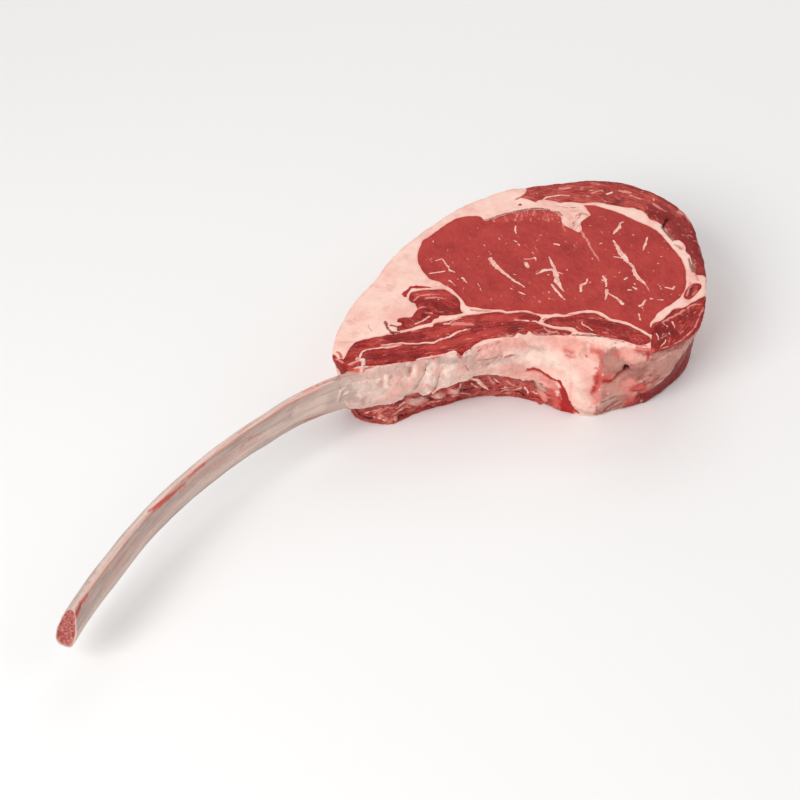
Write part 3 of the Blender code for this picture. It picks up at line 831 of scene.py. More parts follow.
eye = {
    "node": "eye_muscle", "slot": "red_meat",
    "outline": [
        (-54, -3), (-56, 4), (-56, 11), (-55, 16), (-53, 22), (-48, 27), (-42, 34), (-38, 38), (-33, 42),
        (-25, 43.5), (-20.5, 42.8), (-18, 39.3), (-14, 41), (-9.8, 43), (-5.2, 45.1), (0.2, 46.8),
        (5.6, 48.3), (10.2, 49), (15.6, 48.9), (19.4, 47.9), (23.2, 45.6), (24.8, 42.5), (25.5, 37),
        (30, 33), (34, 29.5), (36, 32), (36, 38), (40, 43), (41.5, 45), (40, 50), (39, 53), (45, 53),
        (51, 50), (58, 46.5), (66, 40), (74, 34), (78, 30), (82, 22), (86, 14), (89.3, 5), (90.5, -2),
        (90.2, -8), (89.6, -14.5), (87.8, -20.5), (85.3, -25), (82.3, -28), (79.6, -31), (75.4, -34.5),
        (72, -38.2), (69.7, -41.8), (67.4, -45.5), (66.8, -49), (66.2, -54), (63.8, -52.3), (61.5, -50.1),
        (58.8, -48), (55.8, -45.5), (52.5, -44.1), (49.2, -43.1), (45.8, -42), (44.5, -40.3), (41.6, -37.6),
        (37, -35.8), (31.3, -36.1), (25, -37.6), (22, -39.1), (18, -38.4), (14, -39.1), (10.4, -38.8),
        (7.2, -38), (4.5, -36.9), (1.3, -35.8), (-4.6, -36), (-9, -36.7), (-11.6, -35.8), (-18, -35.6),
        (-22, -35.1), (-25, -33.8), (-29, -33), (-31, -31.5), (-33, -27), (-36, -22), (-40, -17),
        (-45, -13), (-50, -10),
    ],
    "crown": 0.45, "broad": 0.35, "fine": 0.12,
    "turnedMarks": (17, 1),
    "topMarks": [
        ("pale", 1.1, 0.6, -0.12, [(52.6, 21.8, 0.4), (54.3, 17.2, 0.8), (56.2, 11.5), (57.8, 8, 1.4),
         (58.8, 4.7, 0.9), (62.2, -1, 0.8), (62.7, -7.5), (64.3, -10.5), (67, -14, 0.5),
         (68.3, -16.8, 0.35), (69, -21, 0.2)]),
        ("pale", 0.9, 0.6, -0.1, [(16, 7.8, 0.4), (17.2, 4.4, 0.6), (19, -3.5, 1.2), (19, -6.5, 1.7),
         (19.5, -12, 1.5), (21, -17), (22.5, -20.5, 0.2)],
         [(8.5, -6.5, 0.4), (12.5, -3.5, 1.1), (16.5, -2.5), (18.5, -4), (23, -6.5, 0.3)],
         [(16.5, -15.5, 0.6), (18.5, -20.5, 1.1), (21, -25, 0.7), (23.5, -27.5, 0.3)],
         [(-16.5, 6, 1.2), (-13, -1, 1.6), (-9, -6), (-4, -12, 0.9), (1.5, -17.5, 0.4)],
         [(46.8, -22, 0.4), (49, -24.5, 0.5), (51.3, -27, 0.8), (52.6, -29.3), (53.6, -31, 1.1)],
         [(59.7, 37.5, 0.5), (57.8, 36.5, 0.7), (57.2, 33, 0.9), (54.7, 29.6, 0.9), (53.3, 27.3, 0.4)],
         [(46, -19.5), (45.5, -23.5, 0.8), (45, -27.3, 0.4)],
         [(66, -28, 0.6), (64.3, -31.4), (62.7, -32.5)]),
        ("pale", 0.6, 0.55, 0, [(44.8, -8.5), (46, -11), (46.2, -16.5, 0.7)],
         [(3.2, 3, 1.6), (4.2, -0.5, 1.4)], [(-2.8, 22, 0.6), (-1, 20.3), (0.7, 17, 0.5)],
         [(71.8, 24, 0.7), (70.7, 19.4), (69.3, 16), (68.7, 13, 0.6)],
         [(69.3, -26.7), (72.3, -27.2, 0.8), (75.2, -27.5, 0.7)],
         [(-0.9, 34, 0.6), (-1.5, 30), (-0.9, 27.8, 0.6)], [(19.7, 19, 0.8), (22.7, 17.5)],
         [(57.5, -19.6), (59, -19.6)], [(60.2, -17, 0.8), (62, -18.7)], [(64.6, 26)], [(75.8, 2.5)],
         [(54, -5.5, 0.8)], [(56.5, -15.5, 0.7)], [(81.8, -18.5), (82.6, -17)],
         [(77.8, -17.2, 0.6), (79.8, -18), (81.8, -18.5, 0.8)],
         [(36.5, -9.5, 0.5), (35.5, -13, 0.8), (32.5, -15.5, 1.2), (32, -20.5)]),
        ("pale", 0.4, 0.5, 0, [(52, 8, 0.8), (56.7, 7)], [(56, -11.3), (57.6, -10)],
         [(74.4, -15), (75.2, -16.8)], [(64.3, -33.5), (64.2, -36.5, 0.7)], [(61.7, -38.7), (61.9, -43.5)],
         [(-7, 19.3)], [(5, 15.8)], [(23, 9.4)],
         [(2.5, 6.7, 0.7), (6.2, 6, 0.8), (8.5, 7.7, 0.8), (9.4, 4, 0.6)], [(45, 18.5), (46.7, 19.5)],
         [(47.8, 14, 0.8)], [(37.3, -9.5, 0.8)], [(6, -25, 0.6), (9.5, -29.5)], [(-2, -21.5), (1.5, -23.5)],
         [(-39, -12), (-36, -16.5, 0.6)], [(-32, -9.5), (-28.5, -16, 0.6)], [(-23.5, -15), (-22, -21, 0.6)],
         [(-46.5, 4.5, 0.6), (-43, 6.5), (-39, -3), (-33.5, -7, 0.6)], [(-41.5, -4), (-50, -6)]),
        # thin lines that fall from the notch, and the pink fibres below the eye's upper edge
        ("pink", 0.75, 0.9, 0, [(33.7, 36.6, 1.2), (36.3, 27.5), (38.7, 20.5), (39.8, 14.8, 0.8),
         (42.4, 8, 0.7), (43.9, 4.6, 0.5)], [(25.7, 42.4), (25.8, 34.2, 0.8), (26.6, 29.5, 0.5)]),
        ("pink", 0.6, 1.2, 0, [(37.5, -13)], [(80.6, -22.8)], [(12.5, 26)]),
        ("bright", 3.2, 6, 0, [(-10, 39), (0, 43), (10, 45), (20, 43)]),
        *strewn("pink", 70, ((-14, 37), (25, 47)), 95, 7, 6.5, 14),
        *strewn("pink", 60, ((-52, -32), (86, 44)), -55, 8, 5.5),
        *strewn("pale", 90, ((-52, -34), (86, 44)), -55, 3, 1.8),
    ],
    "finish": meatFinish("eyeMeat", meatLook),
}

# The cap: the crescent of meat round the back and the spine end

cap = {
    "node": "cap_muscle", "slot": "red_meat",
    "outline": [
        (0, 57.8), (3.5, 59), (8, 57.5), (11.8, 55.4), (15.8, 57.6), (21.8, 56.4), (25.6, 55.2),
        (29.5, 55.8), (38.6, 54.8), (44.7, 55.8), (49.2, 55.2), (52.2, 54), (56.7, 52.8), (61.3, 51.6),
        (65.8, 51), (68.8, 49.3), (71.5, 47.9), (73.6, 43.6), (75, 40), (78.4, 38.4), (81, 35.5),
        (81.8, 32.8), (83.2, 29.5), (85, 25), (86.8, 22), (89.8, 22), (92.3, 17), (92.1, 12.4), (94.2, 9),
        (94.6, 4.5), (94.8, -2), (95.5, -6), (98, -7.5), (116, -6), (116, 34), (98, 68), (62, 90), (22, 88),
        (8, 72), (6.5, 66), (4, 62),
    ],
    "crown": 0.5, "broad": 0.5, "fine": 0.3,
    "topMarks": [
        ("brick", 6, 8, 0, [(80, 48), (90, 36), (96, 20), (98, 4)]),
        ("deep", 2.6, 4, -0.3, [(56, 55), (60, 58)], [(74, 46), (80, 43), (84, 41)], [(99, 26), (100, 10)]),
        ("brick", 1.2, 3, 0, [(20, 73), (40, 75), (60, 73), (80, 63), (94, 46), (100, 24), (101, 2)]),
        ("pale", 0.6, 0.6, 0,
         [(11.8, 56, 0.8), (15.8, 58), (17.8, 59.7), (22, 60.8), (26.6, 61.7), (31.2, 61.2, 0.5)],
         [(52.3, 62.5), (55.5, 64.3)]),
        ("pink", 0.8, 1.0, 0, [(48, 71.5)], [(26, 68), (31, 68)], [(44, 64), (50, 66, 0.6)],
         [(66, 62), (72, 58, 0.6)], [(78, 54), (84, 47, 0.6)], [(60, 66), (66, 64.5)]),
        # painted shade in the cracks of the cap
        ("umber", 0.8, 0.8, -1.3,
         [(69, 50.2, 0.6), (70.3, 48.4), (72.3, 45.4), (73, 41.2), (74.8, 38.8, 0.6)],
         [(81, 33.6, 0.6), (82.3, 36), (84, 39), (85.3, 41.2, 0.5)]),
        ("slate", 0.7, 0.8, -0.3, [(81, 35), (84.3, 27.5), (86.8, 22)], [(94.4, 7), (94.9, 1), (95.2, -4)]),
        ("slate", 0.9, 1.2, -0.4, [(87.6, 19.5), (90.5, 16), (91.2, 13)]),
        ("pink", 1.3, 1.5, 0.3, [(92.8, 46), (96.8, 43), (97.8, 40)]),
        *strewn("pink", 90, ((5, 57), (70, 74)), -12, 5, 4.5, 16),
        *strewn("pink", 80, ((70, 0), (101, 60)), -62, 6, 4.5, 16),
        *strewn("pale", 26, ((10, 57), (98, 72)), -30, 9, 2.4),
    ],
    "finish": meatFinish("capMeat", {
        **meatLook, "dark": rgb(128, 28, 27), "main": rgb(170, 52, 46), "light": rgb(200, 92, 82),
        "bundle": (9, 2.0, 9), "fibre": (7, 0.8, 7), "shares": (0.3, 0.4, 0.5, 0.2), "turn": 0,
        "vein": (14, 2.2, 14), "veinWidth": 0.018, "veinStart": 0.42, "veinShare": 0.6, "film": 0.55,
        "fleck": (2.6, 0.7, 2.6), "fleckShare": 0.35, "bump": 0.3, "follow": True}),
}

island = {
    "node": "island_muscle", "slot": "dark_meat", "turn": 40,
    "outline": [
        (87, -25), (89.5, -19), (93, -14.5), (97, -14), (97.5, -17), (94.5, -22), (90, -27),
    ],
    "crown": 0.5, "broad": 0.3, "fine": 0.2,
    "topMarks": [
        # painted shade along the island's crease
        ("umber", 0.5, 1.0, -0.5, [(90.2, -23.5, 0.6), (91.5, -19.5), (93.6, -16.4, 0.6)]),
        ("pink", 0.4, 0.8, 0.1, [(88.6, -24), (90.5, -18.6), (93, -15.6)], [(92, -23.5), (94.5, -19.5)]),
        ("bright", 0.8, 1.4, 0, [(93, -20.5), (95.6, -17)]),
    ],
}

tail = {
    "node": "tail_muscle", "slot": "dark_meat", "turn": 60,
    # the wall's fat covers its side below the rim
    "skin": lambda z: np.where(z > 13, 3.2 * ease(50.6, 47.0, z) - 1.0, -2.2),
    "outline": [
        (67, -51), (67.6, -48.4), (69.5, -45.6), (73.5, -43.6), (76, -40.5), (78.8, -36.9), (81.4, -34.4),
        (84, -33.6), (86.2, -33.8), (88.4, -32.4), (90.4, -30.3), (94, -27.6), (98, -24.4), (110, -20),
        (114, -48), (98, -74), (74, -86), (65, -80), (65.5, -68), (66, -61), (67, -56),
    ],
    "crown": 0.6, "broad": 0.5, "fine": 0.5,
    "topMarks": [
        ("deep", 3.0, 3.5, -0.4, [(71.5, -49), (72.5, -57)], [(86, -40), (90, -37)],
         [(78, -48), (80, -56)]),
        ("deep", 0.9, 1.4, -0.3, [(70.5, -49), (71.5, -54), (72, -57.5, 0.7)], [(78, -50), (78.6, -54)],
         [(84, -44), (86, -47.5)], [(74.5, -50), (75, -54)]),
        ("pink", 0.6, 0.7, 0.2, [(73.5, -45), (77, -42.3), (81, -40.3), (84, -37.3), (86, -35.5)],
         [(88, -34.6), (90.5, -32.8), (93, -31.7), (96.5, -31.3, 0.6)]),
        ("pink", 0.45, 0.7, 0, [(97, -34), (95.8, -36), (94.3, -39.5), (92.5, -44.7), (90.5, -49),
         (87.5, -53.5), (84, -57.6), (80.8, -60.3), (77.6, -63), (73.8, -65), (69.5, -67)]),
        ("pale", 0.35, 0.6, 0, [(79.2, -44.5), (79.6, -47.5), (79.8, -50.2, 0.6)],
         [(76.7, -53), (75.9, -58.5, 0.7)], [(74, -58.6, 0.8), (73, -62), (70.7, -65, 0.8)],
         [(69.7, -53.7), (70.4, -55.8), (70, -58.6)], [(74, -45.8), (75.3, -47.3), (76.2, -48)]),
        *strewn("pink", 46, ((68, -66), (96, -30)), 62, 10, 4.5, 22),
    ],
}

lobe = {
    "node": "lobe_muscle", "slot": "dark_meat", "turn": -25,
    "outline": [
        (-61.2, -27), (-60.2, -22.5), (-57.3, -20.5), (-54, -19.6), (-50.7, -19.2), (-47.5, -19.1),
        (-42.5, -19), (-40, -20.5), (-37.8, -23), (-35.6, -25), (-34.3, -27), (-33.7, -31), (-33.2, -36),
        (-32.4, -38), (-35, -39.3), (-40, -40.4), (-44.5, -40.3), (-45.5, -42), (-48, -43.5), (-49.2, -46),
        (-52, -47), (-55, -47.8), (-57.5, -48.6), (-59.8, -50), (-62, -51), (-65, -52), (-67, -52.8),
        (-67.7, -51), (-67, -48.5), (-65, -47.3), (-65.5, -46), (-67.5, -45.3), (-67.5, -44.2),
        (-67, -42.6), (-65, -42), (-61.5, -41.8), (-59.5, -41), (-58.5, -39), (-57.5, -36.7), (-56.7, -35),
        (-57.5, -32.7), (-58, -30.8), (-60, -29.7), (-61, -28.2),
    ],
    "crown": 0.6, "broad": 0.5, "fine": 0.4,
    "topMarks": [
        ("bright", 2.6, 4, 0, [(-56, -23), (-48, -22), (-40, -23)]),
        # painted shade in the lobe's folds
        ("deep", 2.4, 3.5, -0.6, [(-57, -29), (-50, -28), (-45, -31), (-41, -36), (-35.5, -36.5)]),
        ("pale", 0.5, 0.7, 0, [(-58, -47, 0.7), (-55, -45), (-52, -42.6), (-50.5, -40.7, 0.8)],
         [(-45, -27.5)]),
        ("pink", 0.5, 0.7, 0, [(-56.5, -35), (-54.8, -34), (-51.5, -33)], [(-47, -36), (-43, -37.5)],
         [(-52, -37), (-49, -38.5)], [(-58.5, -28), (-55.5, -24.5), (-51, -23.4), (-46, -23.6, 0.5)],
         [(-52, -26), (-46, -25.5), (-41, -27.5, 0.5)]),
        # painted shade along the lobe's fold lines
        ("deep", 1.1, 1.6, -0.6, [(-52, -31), (-51, -36), (-53.5, -40)], [(-47, -31), (-45.5, -37)],
         [(-61, -44.5), (-56, -43), (-52.5, -39.5)]),
        *strewn("pink", 14, ((-64, -50), (-36, -22)), -25, 12, 3.2, 20),
    ],
}

strip = {
    "node": "rib_strip_muscle", "slot": "dark_meat", "turn": 12,
    "outline": [
        (-120, -84), (-112, -66), (-101, -70), (-98.3, -73.8), (-96.6, -73.6), (-95.3, -74), (-93.7, -69.3),
        (-92.1, -65.5), (-90.2, -62), (-88.2, -60.5), (-85.2, -59), (-82, -58), (-79.4, -57),
        (-75.7, -56.3), (-72.5, -55), (-67.2, -54.3), (-61.8, -52.5), (-58.7, -51.6), (-55.5, -50.5),
        (-51.3, -49.3), (-48.9, -49), (-48, -47), (-46.5, -45.8), (-43.3, -45), (-40.5, -44.4),
        (-37.5, -43.4), (-34.2, -41.8), (-30, -39.9), (-22, -38.4), (-14, -37.2), (-9.5, -38.1),
        (-5, -37.5), (1.3, -37.3), (4.5, -38.4), (7.5, -39.6), (9.3, -41.7), (7.5, -45.5), (12, -48.3),
        (17.3, -50.4), (21, -51), (25, -53), (22, -56), (17.3, -55.3), (13.5, -55.6), (6.5, -55.6),
        (4.3, -54.4), (2.3, -52.2), (0.6, -54.8), (-1.5, -54.8), (-3.6, -53.6), (-5.2, -55.6), (-7, -57.2),
        (-10, -57.2), (-15, -57.8), (-19.7, -58.7), (-22.5, -60), (-26.3, -62.5), (-29.2, -66.3),
        (-31, -68.3), (-33.5, -74), (-36.5, -67.6), (-39, -67.4), (-42.2, -68.9), (-46.5, -70.1),
        (-51.5, -71.4), (-56, -73.2), (-58.3, -76), (-60, -86), (-82, -96), (-112, -98),
    ],
    "crown": 0.5, "broad": 0.5, "fine": 0.4,
    "topMarks": [
        ("deep", 3.0, 4, -0.3, [(-82, -72), (-75, -72.5), (-65, -72), (-58, -71)], [(-8, -50), (-2, -50)],
         [(-40, -64), (-34, -62)], [(-70, -58), (-60, -56)]),
        ("bright", 2.6, 4, 0, [(-50, -55), (-40, -51), (-28, -45)], [(-50, -66), (-30, -58), (-15, -53)],
         [(-20, -43), (-5, -42)]),
        ("pale", 0.55, 0.6, -0.15, [(-87.3, -74, 1.2), (-86.3, -70, 1.3), (-85.5, -68.5, 1.2),
         (-83.8, -67.3), (-81, -66.3), (-77.5, -66, 0.7), (-74.3, -65.4, 0.7), (-71.2, -64.8),
         (-67, -64.3, 0.6), (-65, -64, 0.4)]),
        ("pale", 0.65, 0.6, -0.15, [(-75, -63.2, 0.5), (-71, -62.3, 0.7), (-67, -61.8, 0.7),
         (-62.8, -62.4, 0.7), (-58.7, -62, 0.8), (-55, -61.7, 0.8), (-51.3, -61.6, 0.8), (-48, -61.2),
         (-45.5, -59.3), (-43.3, -58.2), (-40.6, -57, 1.1), (-38.5, -55.5, 1.1), (-36, -53.6),
         (-32.5, -52, 0.9), (-30.3, -51.3, 0.8), (-28, -50.6, 0.5)]),
        ("pink", 1.1, 1.2, 0, [(-75, -64.3), (-70, -63.6), (-66, -63)],
         [(-38, -47.5), (-34, -47.3), (-27, -47.5, 0.4)]),
        ("pale", 0.5, 0.6, 0,
         [(-42.3, -46.8), (-39.8, -46.8), (-38.3, -45, 0.8), (-36.5, -43.5, 0.8), (-34, -42, 0.8)],
         [(-5.2, -43.4, 0.6), (-2, -43.8), (2.2, -44.2), (6.5, -44.6), (8.6, -45.4, 1.4)]),
        ("pink", 0.5, 0.7, 0, [(10, -47.3), (11.3, -50.8), (13.2, -52.3), (15.7, -53), (17.3, -52.3)]),
        ("cream", 1.2, 1.2, 1.4, [(-88, -74.5), (-85.5, -75.2), (-85, -77)]),
        ("pink", 0.7, 0.8, 0.3, [(-95, -79.5), (-91.8, -78), (-88.3, -76), (-87.3, -74)],
         [(-99, -74), (-96, -76.5)]),
        # painted shade in a crack of the strip
        ("dark", 0.5, 0.9, -0.8, [(-27.5, -62.5, 0.6), (-24, -60.5), (-20, -59.3, 0.6)]),
        *strewn("pink", 110, ((-94, -76), (20, -40)), 14, 11, 5.0, 16),
        # brighter red streaks along the fibres: partly the fibres' own colour, partly painted glints
        *strewn("bright", 60, ((-94, -76), (20, -40)), 14, 13, 9.0, 10),
        *strewn("pink", 40, ((-92, -72), (16, -42)), 14, 14, 3.4, 14),
    ],
}

innerStrip = {
    "node": "inner_strip_muscle", "slot": "dark_meat", "turn": -22,
    "outline": [
        (10.2, -44.9), (14, -41.4), (21.6, -40.7), (27.2, -39.1), (33.3, -37.9), (38.7, -38.5),
        (42.9, -41.5), (46, -44), (50.5, -45.7), (55.8, -47.5), (58.8, -49.9), (61.5, -52.1), (63.8, -54.4),
        (65.8, -57.2), (65.5, -61), (61, -63.3), (56, -62.2), (51, -59.4), (41, -56.6), (35.5, -54),
        (31.5, -53.3), (28.6, -52.6), (26.5, -50.4), (24, -49), (18.5, -48.6), (14, -47.3),
    ],
    "crown": 0.4, "broad": 0.3, "fine": 0.4,
    "topMarks": [
        ("pale", 0.4, 0.6, 0, [(30.8, -44.5, 0.7), (30.6, -46.5), (32, -48.5), (34, -49.7), (36, -52)]),
        ("deep", 1.6, 2.5, -0.2, [(36, -44), (46, -49)], [(20, -43), (27, -44)]),
        ("bright", 0.5, 0.7, 0, [(57, -55), (60, -62)], [(59, -54.5), (62.5, -61)],
         [(54, -54), (56.5, -60)]),
        *strewn("pink", 60, ((14, -60), (62, -41)), -24, 15, 6.0, 9),
        *strewn("umber", 16, ((20, -58), (62, -43)), -24, 16, 5.0, 9),
    ],
}

lowerMeat = {
    "node": "lower_rib_meat", "slot": "dark_meat", "turn": 10, "top": 29.0, "lean": 16.0,
    "outline": [
        (-114, -62), (-92, -61), (-60, -58), (-40, -53), (-20, -45), (-4, -44), (8, -48.5), (17, -53),
        (24, -59), (24, -76), (-20, -88), (-60, -98), (-114, -104), (-124, -82),
    ],
    "crown": 0.4, "broad": 0.5, "fine": 0.5,
    "look": {"dark": rgb(124, 28, 26), "main": rgb(170, 54, 48), "light": rgb(214, 122, 110),
             "bundle": (5, 5, 3), "fibre": (5, 5, 1.1)},
}

darkLook = {
    **meatLook, "dark": rgb(106, 14, 14), "main": rgb(158, 31, 28), "light": rgb(196, 76, 67),
    "mottling": 9.0, "bundle": (11, 2.2, 11), "fibre": (7, 0.8, 7), "shares": (0.35, 0.35, 0.4, 0.4),
    "vein": (14, 2.6, 14), "veinWidth": 0.018, "veinStart": 0.44, "veinShare": 0.5, "film": 0.15,
    "fleck": (2.4, 0.8, 2.4), "fleckShare": 0.22, "bump": 0.35,
}
for piece in (island, tail, lobe, strip, innerStrip, lowerMeat):
    look = {**darkLook, "turn": piece["turn"], **piece.get("look", {})}
    piece["finish"] = meatFinish(piece["node"].replace("_", "") + "Meat", look)
muscles = {"eye": eye, "cap": cap, "island": island, "tail": tail, "lobe": lobe, "strip": strip,
           "innerStrip": innerStrip, "lowerMeat": lowerMeat}

# The rib, from its end inside the meat to its sawn tip

rib = {
    "node": "rib_bone", "slot": "rib_bone", "sides": 72, "cuts": (20, 21), "capInsets": 8,
    "squareness": 0.62, "tipSlant": 5.0, "tipLength": 14, "bedding": 0.5,
    "markRadius": 9,        # marks and grain are laid out on a round bar of this radius
    "grainLength": 330.0,
    # x, y, mid height, section height, thickness low and high, lean of the top to the hollow side
    "stations": [
        (32, -44, 37, 18, 9, 8, 0), (4, -46.5, 37, 20, 10, 8, 0), (-21, -53.5, 37.5, 22, 10.5, 8, 0),
        (-54, -69.3, 37.5, 23, 10.5, 7.5, 0), (-92, -79.3, 36, 22, 11, 7, 0),
        (-118, -93, 35, 20.5, 10, 6.5, 1), (-146, -116.5, 34, 20, 9.5, 6, 3),
        (-171, -143.5, 33, 20, 9, 6, 4), (-191.5, -172, 32, 21, 9, 6.5, 5),
        (-206.5, -200, 31, 23, 9.5, 7, 7), (-217, -221, 30.5, 24, 11, 6.5, 10),
        (-222, -233.5, 30.5, 25, 12.5, 6, 12),
    ],
}


# The rib's surface; grow moves it out, for the bed it leaves in the meat
def ribPoints(around, along, radius, grow):
    rows = smoothRows(rib["stations"], 24, closed=False)
    walked = walkedAlong(rows)
    runs = np.gradient(rows[:, :2], walked, axis=0)
    stop = along * walked[-1]
    x, y, mid, height, low, high, lean = [np.interp(stop, walked, column) for column in rows.T]
    run = np.column_stack([np.interp(stop, walked, column) for column in runs.T])
    run /= np.linalg.norm(run, axis=1)[:, None]
    left = np.column_stack([-run[:, 1], run[:, 0]])
    angle = 2 * math.pi * around / rib["sides"]
    rise = np.sin(angle)
    spread = np.sign(np.cos(angle)) * np.abs(np.cos(angle)) ** rib["squareness"]
    thick = low + (high - low) * (rise + 1) / 2
    across = radius * spread * (thick / 2 + grow)
    up = radius * rise * (height / 2 + grow)
    tilt = np.radians(lean)
    sideways = across * np.cos(tilt) + up * np.sin(tilt)
    upward = up * np.cos(tilt) - across * np.sin(tilt)
    atTip = ease(walked[-1] - rib["tipLength"], walked[-1], stop)
    slant = -rib["tipSlant"] * rise * radius / 2 * atTip
    plan = np.column_stack([x, y]) + left * sideways[:, None] + run * slant[:, None]
    return np.column_stack([plan, mid + upward]), stop, run


# Marks on the rib: places are millimetres from its inner end and degrees round it, 90 at its top
ribMarks = [
    ("bone", 2.2, 4, 0, [(130, 90), (200, 92), (260, 86), (336, 80)]),
    ("tan", 1.3, 3.0, 0, [(130, 62), (170, 66), (225, 62), (270, 58)], [(285, 64), (320, 60)]),
    ("shell", 9.0, 12, 0, [(108, 40), (142, 36)], [(108, -20), (142, -20)]),
    ("cream", 0.55, 0.9, 0.7, [(139.6, -10, 0.4), (138.4, 8), (136.8, 27, 0.5)],
     [(137.5, 20), (133.5, 34, 0.6)], [(134, 40, 0.6), (130, 50)], [(136, 6, 0.6), (133, 12)]),
    ("rose", 0.3, 0.9, 0, [(128, 84), (138, 82), (152, 85)], [(146, 96), (160, 92)]),
    ("blush", 0.7, 1.4, 0.15, [(140, 76), (175, 78), (215, 76), (250, 74), (290, 72), (336, 64)]),
    ("cream", 0.3, 0.7, 0.1, [(140, 73), (175, 75), (215, 73), (245, 72)], [(270, 70), (300, 68)]),
    ("rose", 0.2, 0.7, 0, [(150, 82), (172, 83)], [(160, 67), (178, 69)], [(196, 81), (216, 80)],
     [(226, 70), (244, 68)], [(268, 76), (290, 74)], [(300, 68), (318, 66)], [(140, 88), (158, 90)],
     [(184, 88), (200, 90)], [(232, 84), (250, 82)]),
    ("blood", 1.1, 2.0, 0, [(266, 80, 0.6), (260, 70), (253, 58), (247, 48, 0.5)]),
    ("rose", 1.6, 2.5, 0, [(262, 66), (252, 52), (240, 46, 0.5)]),
    ("rose", 0.8, 2.4, 0, [(236, 62), (225, 60)]),
    ("rose", 0.5, 1.2, 0, [(202, 10), (199, 22), (194.7, 27), (190, 22), (187, 14)]),
    ("rose", 2.2, 2.5, 0, [(336, 50), (331, 60), (323, 58, 0.6)]),
    ("brick", 0.9, 2.0, 0, [(336, 52), (331, 58)]),
    ("tan", 1.1, 3.0, 0, [(244, 30), (229, 30), (211, 24)], [(300, 30), (280, 34)]),
    ("bone", 2.0, 4.0, 0, [(165, 18), (155, 18), (146, 17)]),
    ("rose", 0.8, 2.0, 0, [(160, -34), (150, -50), (141, -62)]),
    ("bone", 3.0, 5, 0, [(336, -22), (290, -20), (240, -16), (190, -10), (150, -6)]),
    ("tan", 0.6, 1.6, 0, [(330, 20), (300, 12)], [(220, 6), (190, 4)], [(275, -30), (262, -34)]),
    ("ash", 1.6, 3.0, 0, [(310, 8), (280, 6), (250, 4)]),
]


def onRib(stop, turn):
    turn = math.radians(turn)
    return [stop, rib["markRadius"] * math.sin(turn), rib["markRadius"] * math.cos(turn)]


def makeRib():
    bone, around, along = addPrism("rib", rib["sides"], rib["cuts"])
    for number in range(rib["capInsets"]):
        corners = readAll(bone.data.polygons, "loop_total", 1, int)[:, 0]
        selectParts(bone, "FACE", corners == rib["sides"])
        bpy.ops.mesh.inset(thickness=0.11)
        leaveEdit()
    unit = readPoints(bone) * mm
    around = (-np.arctan2(unit[:, 0], unit[:, 1]) / (2 * math.pi) * rib["sides"]) % rib["sides"]
    radius = np.hypot(unit[:, 0], unit[:, 1])
    points, stop, run = ribPoints(around, unit[:, 2], radius, 0)
    centre = ribPoints(around, unit[:, 2], radius * 0, 0)[0]
    outward = points - centre
    outward /= np.maximum(np.linalg.norm(outward, axis=1), 1e-6)[:, None]
    cap = radius < 0.999
    angle = 2 * math.pi * around / rib["sides"]
    rise, spread = np.sin(angle), np.cos(angle)
    grainPlace = np.column_stack([stop / 9, 14 * spread, 14 * rise])
    fields = emptyFields(len(points))
    bar = np.column_stack([stop, rib["markRadius"] * rise, rib["markRadius"] * spread])
    relief = drawMarks(bar, ribMarks, fields, onRib)
    relief += 0.35 * lumps(points, 18, 21, 2) + 0.22 * lumps(grainPlace, 3.0, 22, 3)
    points[~cap] += (outward * relief[:, None])[~cap]
    tip = cap & (unit[:, 2] > 0.5)
    sponge = 0.3 * lumps(points, 1.8, 23, 3) - 0.5 * ease(0.86, 0.7, radius)
    points[tip] += (atZero(run) * sponge[:, None])[tip]
    writePoints(bone, points)
    fields["stop"] = stop / stop.max()
    fields["rise"] = rise
    fields["spread"] = spread
    # the pale rim of the sawn tip shows only along the side that faces the front
    rim = radius * (0.95 + 0.17 * np.clip(spread, -0.4, 1))
    fields["marrow"] = np.where(tip, ease(1.0, 0.86, rim), 0)
    fields["tip"] = np.where(tip, 1.0, 0.0)
    setFields(bone, fields)
    present(bone, {**rib, "finish": boneFinish()})


def boneFinish():
    finish = Finish("bone")
    stop, rise, spread = finish.field("stop"), finish.field("rise"), finish.field("spread")
    length, radius = rib["grainLength"], rib["markRadius"]
    run = finish.add("ShaderNodeCombineXYZ", {}, {
        0: stop * length * mm, 1: rise * radius * mm, 2: spread * radius * mm})
    streaks = finish.grain((26, 1.5, 1.5), detail=5.0, seed=1, place=run)
    blots = finish.grain((14, 5, 5), detail=4.0, seed=2, place=run)
    fine = finish.grain(0.8, seed=3)
    colour = finish.ramp(streaks * 0.45 + blots * 0.4 + fine * 0.15, [
        (0.36, rgb(170, 139, 129)), (0.48, rgb(187, 162, 152)), (0.62, rgb(204, 184, 175))])
    blood = (blots * 0.7 + streaks * 0.3).ease(0.57, 0.70)
    colour = finish.blend(blood * 0.3, colour, rgb(186, 106, 94))
    colour = finish.washed(colour, streaks)
    sponge = finish.ramp(finish.grain(1.2, detail=3.0, seed=4), [
        (0.36, rgb(134, 50, 45)), (0.52, rgb(168, 84, 76)), (0.66, rgb(196, 124, 112))])
    rimTone = finish.blend(finish.field("marrow"), rgb(212, 170, 158), sponge)
    colour = finish.blend(finish.field("tip"), colour, rimTone)
    normal = finish.bump(streaks * 0.6 + fine * 0.2, 0.25)
    return finish.surface(colour, fine * 0.2 + 0.33, normal, {"IOR": 1.45, "Specular IOR Level": 0.4})


# The membrane: the grey and pink skin over the rib and the wall, from the bare rib to the block.
# It is laid over what lies behind it, seen along a slant, and its places are x and the height at
# which that slant meets the wall.

